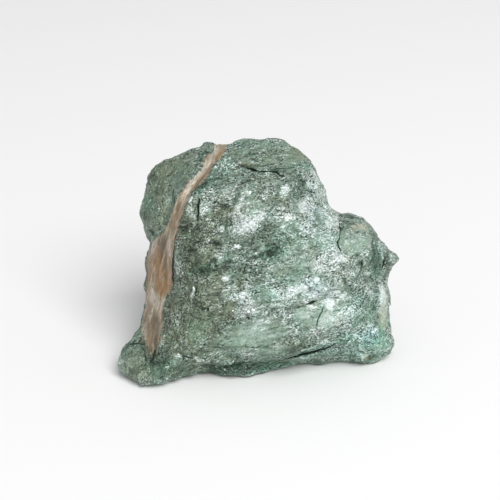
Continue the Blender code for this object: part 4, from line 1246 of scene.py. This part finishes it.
# %% Loose mica flakes
FLAKE_RADIUS = 0.34
FLAKE_THICKNESS = 0.09
FLAKES_PER_MM2 = 1.1
FLAKES_ELSEWHERE = 0.02
FLAKE_LEAN = math.radians(26.0)
FLAKE_SCALES = ((0.6, 0.5, 0.8), (1.5, 1.0, 1.2))
LEAN_SEED = 3
SCALE_SEED = 5


def make_plate():
    bpy.ops.object.select_all(action="DESELECT")
    bpy.ops.mesh.primitive_cylinder_add(
        vertices=6, radius=FLAKE_RADIUS * MM, depth=FLAKE_THICKNESS * MM, location=(0.0, 0.0, 0.0))
    made = bpy.context.active_object
    made.name = "one_flake"
    return made


def numbers_of(tree, *names):
    return [fill(add(tree, "GeometryNodeInputNamedAttribute", data_type="FLOAT"), {"Name": name},
                 "Attribute") for name in names]


def random_vector(tree, low, high, seed):
    return fill(add(tree, "FunctionNodeRandomValue", data_type="FLOAT_VECTOR"),
                {"Min": low, "Max": high, "Seed": seed}, "Value")


def flake_density(tree):
    """Flakes per square metre: most on silvery ground, none on the vein, in cracks or underneath."""
    bright, matte, vein, crack = numbers_of(tree, "bright", "matte", "vein", "crack")
    place = Field(tree.nodes.new("GeometryNodeInputPosition").outputs[0])
    height = Field(add(tree, "ShaderNodeSeparateXYZ", place).outputs[2])
    thick = calculate("POWER", bright, 1.5)
    thick = calculate("MULTIPLY_ADD", thick, FLAKES_PER_MM2, FLAKES_ELSEWHERE)
    thick *= calculate("MULTIPLY_ADD", matte, -0.8, 1.0)
    thick *= calculate("LESS_THAN", vein, -0.5)
    thick *= calculate("LESS_THAN", crack, 0.1)
    thick *= calculate("GREATER_THAN", height, MM)
    return calculate("DIVIDE", thick, MM * MM)


def scatter_tree(ground_piece, plate):
    tree = bpy.data.node_groups.new("Scatter flakes", "GeometryNodeTree")
    tree.interface.new_socket(name="Geometry", in_out="OUTPUT", socket_type="NodeSocketGeometry")
    skin_of, flake_of = (
        fill(add(tree, "GeometryNodeObjectInfo"), {"Object": piece}, "Geometry")
        for piece in (ground_piece, plate))
    spots = add(tree, "GeometryNodeDistributePointsOnFaces")
    points = fill(spots, {"Mesh": skin_of, "Density": flake_density(tree)}, "Points")
    lean = random_vector(tree, (-FLAKE_LEAN, -FLAKE_LEAN, -math.pi),
                         (FLAKE_LEAN, FLAKE_LEAN, math.pi), LEAN_SEED)
    leaning = fill(add(tree, "FunctionNodeRotateRotation", rotation_space="LOCAL"),
                   {"Rotation": Field(spots.outputs["Rotation"]), "Rotate By": lean})
    placed_flakes = fill(add(tree, "GeometryNodeInstanceOnPoints"), {
        "Points": points, "Instance": flake_of, "Rotation": leaning,
        "Scale": random_vector(tree, *FLAKE_SCALES, SCALE_SEED)})
    real = fill(add(tree, "GeometryNodeRealizeInstances"), {"Geometry": placed_flakes})
    wire(tree.nodes.new("NodeGroupOutput").inputs[0], real)
    return tree


print("flakes per square millimetre, at most:", FLAKES_PER_MM2 + FLAKES_ELSEWHERE)

# %% [markdown]
# ## The flakes as one piece
# All the loose flakes are one object. Applying its modifier makes them plain mesh, and then the
# plate they were copied from isn't needed any more. Their own material is smooth and slightly
# metallic, as clean mica looks, and palest where the ground is silvery.

# %% The flakes as one piece
MICA_GREEN = paint(152, 178, 165)
MICA_SILVER = paint(228, 238, 234)
FACES_PER_FLAKE = 8


def new_object(name, data):
    made = bpy.data.objects.new(name, data)
    bpy.context.scene.collection.objects.link(made)
    return made


def make_mica():
    mica, tree, shader = new_material("Loose mica")
    tone = noise_at(face_coordinates(tree), 0.9, 2.0, 0.6)
    [bright] = masks_of(tree, "bright")
    # Paler on silvery ground: the mica's silver, and a painted highlight that follows the ground's.
    pale = between(tone, 0.35, 0.6, 0.3, 1.0) * between(bright, 0.0, 0.6, 0.3, 1.0)
    wire(shader["Base Color"], mix(pale, MICA_GREEN, MICA_SILVER))
    shader["Metallic"].default_value = 0.25
    shader["Roughness"].default_value = 0.3
    shader["Specular IOR Level"].default_value = 0.8
    return mica


plate = make_plate()
mica_flakes = new_object("mica_flakes", bpy.data.meshes.new("mica_flakes"))
scatter = mica_flakes.modifiers.new("Scatter", "NODES")
scatter.node_group = scatter_tree(rock, plate)
apply_all(mica_flakes)
bpy.data.objects.remove(plate)
mica_flakes.data.materials.clear()
mica_flakes.data.materials.append(make_mica())
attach(mica_flakes, "root")
print("loose flakes:", len(mica_flakes.data.polygons) // FACES_PER_FLAKE)

# %% [markdown]
# ## A lighter mesh
# The skin's even squares were needed for carving, but calm ground doesn't need so many. The
# Decimate modifier joins points where that changes the shape least, so ledges and cracks stay
# sharp, and it mixes the masks of the points that it joins. It comes after the loose flakes,
# because they were scattered on the full skin.

# %% A lighter mesh
TRIANGLES_KEPT = 196000
rock.data.calc_loop_triangles()
thin = rock.modifiers.new("Thin", "DECIMATE")
thin.ratio = TRIANGLES_KEPT / len(rock.data.loop_triangles)
apply_all(rock)
rock.data.calc_loop_triangles()
print("rock thinned to", len(rock.data.loop_triangles), "triangles")

# %% [markdown]
# ## Camera, floor and light
# The stone stands on a pale floor in soft studio light, seen from a little above.

# %% Camera, floor and light
VIEW_HEIGHT = LEAN
VIEW_DISTANCE = 0.446
LENS = 100.0
FLOOR_SIZE = 6.0
FLOOR_GAP = 0.05

target = Vector(FACE_ZERO * MM)


def point_at(thing, spot):
    thing.rotation_euler = (spot - thing.location).to_track_quat("-Z", "Y").to_euler()


def add_camera():
    camera = new_object("Camera", bpy.data.cameras.new("Camera"))
    camera.data.lens = LENS
    camera.data.clip_start = 0.01
    out = Vector((0.0, -math.cos(VIEW_HEIGHT), math.sin(VIEW_HEIGHT)))
    camera.location = target + VIEW_DISTANCE * out
    point_at(camera, target)
    bpy.context.scene.camera = camera


def add_softbox(name, azimuth, elevation, distance, size, watts):
    """A square soft light. Azimuth 0 is in front of the stone and 90 is on its right."""
    lamp = new_object(name, bpy.data.lights.new(name, "AREA"))
    lamp.data.size = size
    lamp.data.energy = watts
    turn = math.radians(azimuth)
    rise = math.radians(elevation)
    lamp.location = target + distance * Vector((
        math.sin(turn) * math.cos(rise), -math.cos(turn) * math.cos(rise), math.sin(rise)))
    point_at(lamp, target)


def add_floor():
    bpy.ops.object.select_all(action="DESELECT")
    bpy.ops.mesh.primitive_plane_add(size=FLOOR_SIZE, location=(0.0, 0.0, -FLOOR_GAP * MM))
    floor = bpy.context.active_object
    floor.name = "studio_floor"
    white, _, shader = new_material("White floor")
    shader["Base Color"].default_value = (0.9, 0.9, 0.9, 1.0)
    shader["Roughness"].default_value = 0.9
    floor.data.materials.append(white)


def light_the_room(strength):
    room = bpy.data.worlds.new("Studio")
    bpy.context.scene.world = room
    room.use_nodes = True
    air = room.node_tree.nodes["Background"]
    air.inputs["Color"].default_value = (1.0, 1.0, 1.0, 1.0)
    air.inputs["Strength"].default_value = strength


add_camera()
add_floor()
light_the_room(strength=0.5)
add_softbox("Key softbox", azimuth=30.0, elevation=48.0, distance=2.4, size=1.6, watts=52.0)
bpy.context.scene.view_settings.view_transform = "Standard"
print("camera at", [round(v / MM) for v in bpy.context.scene.camera.location], "mm")
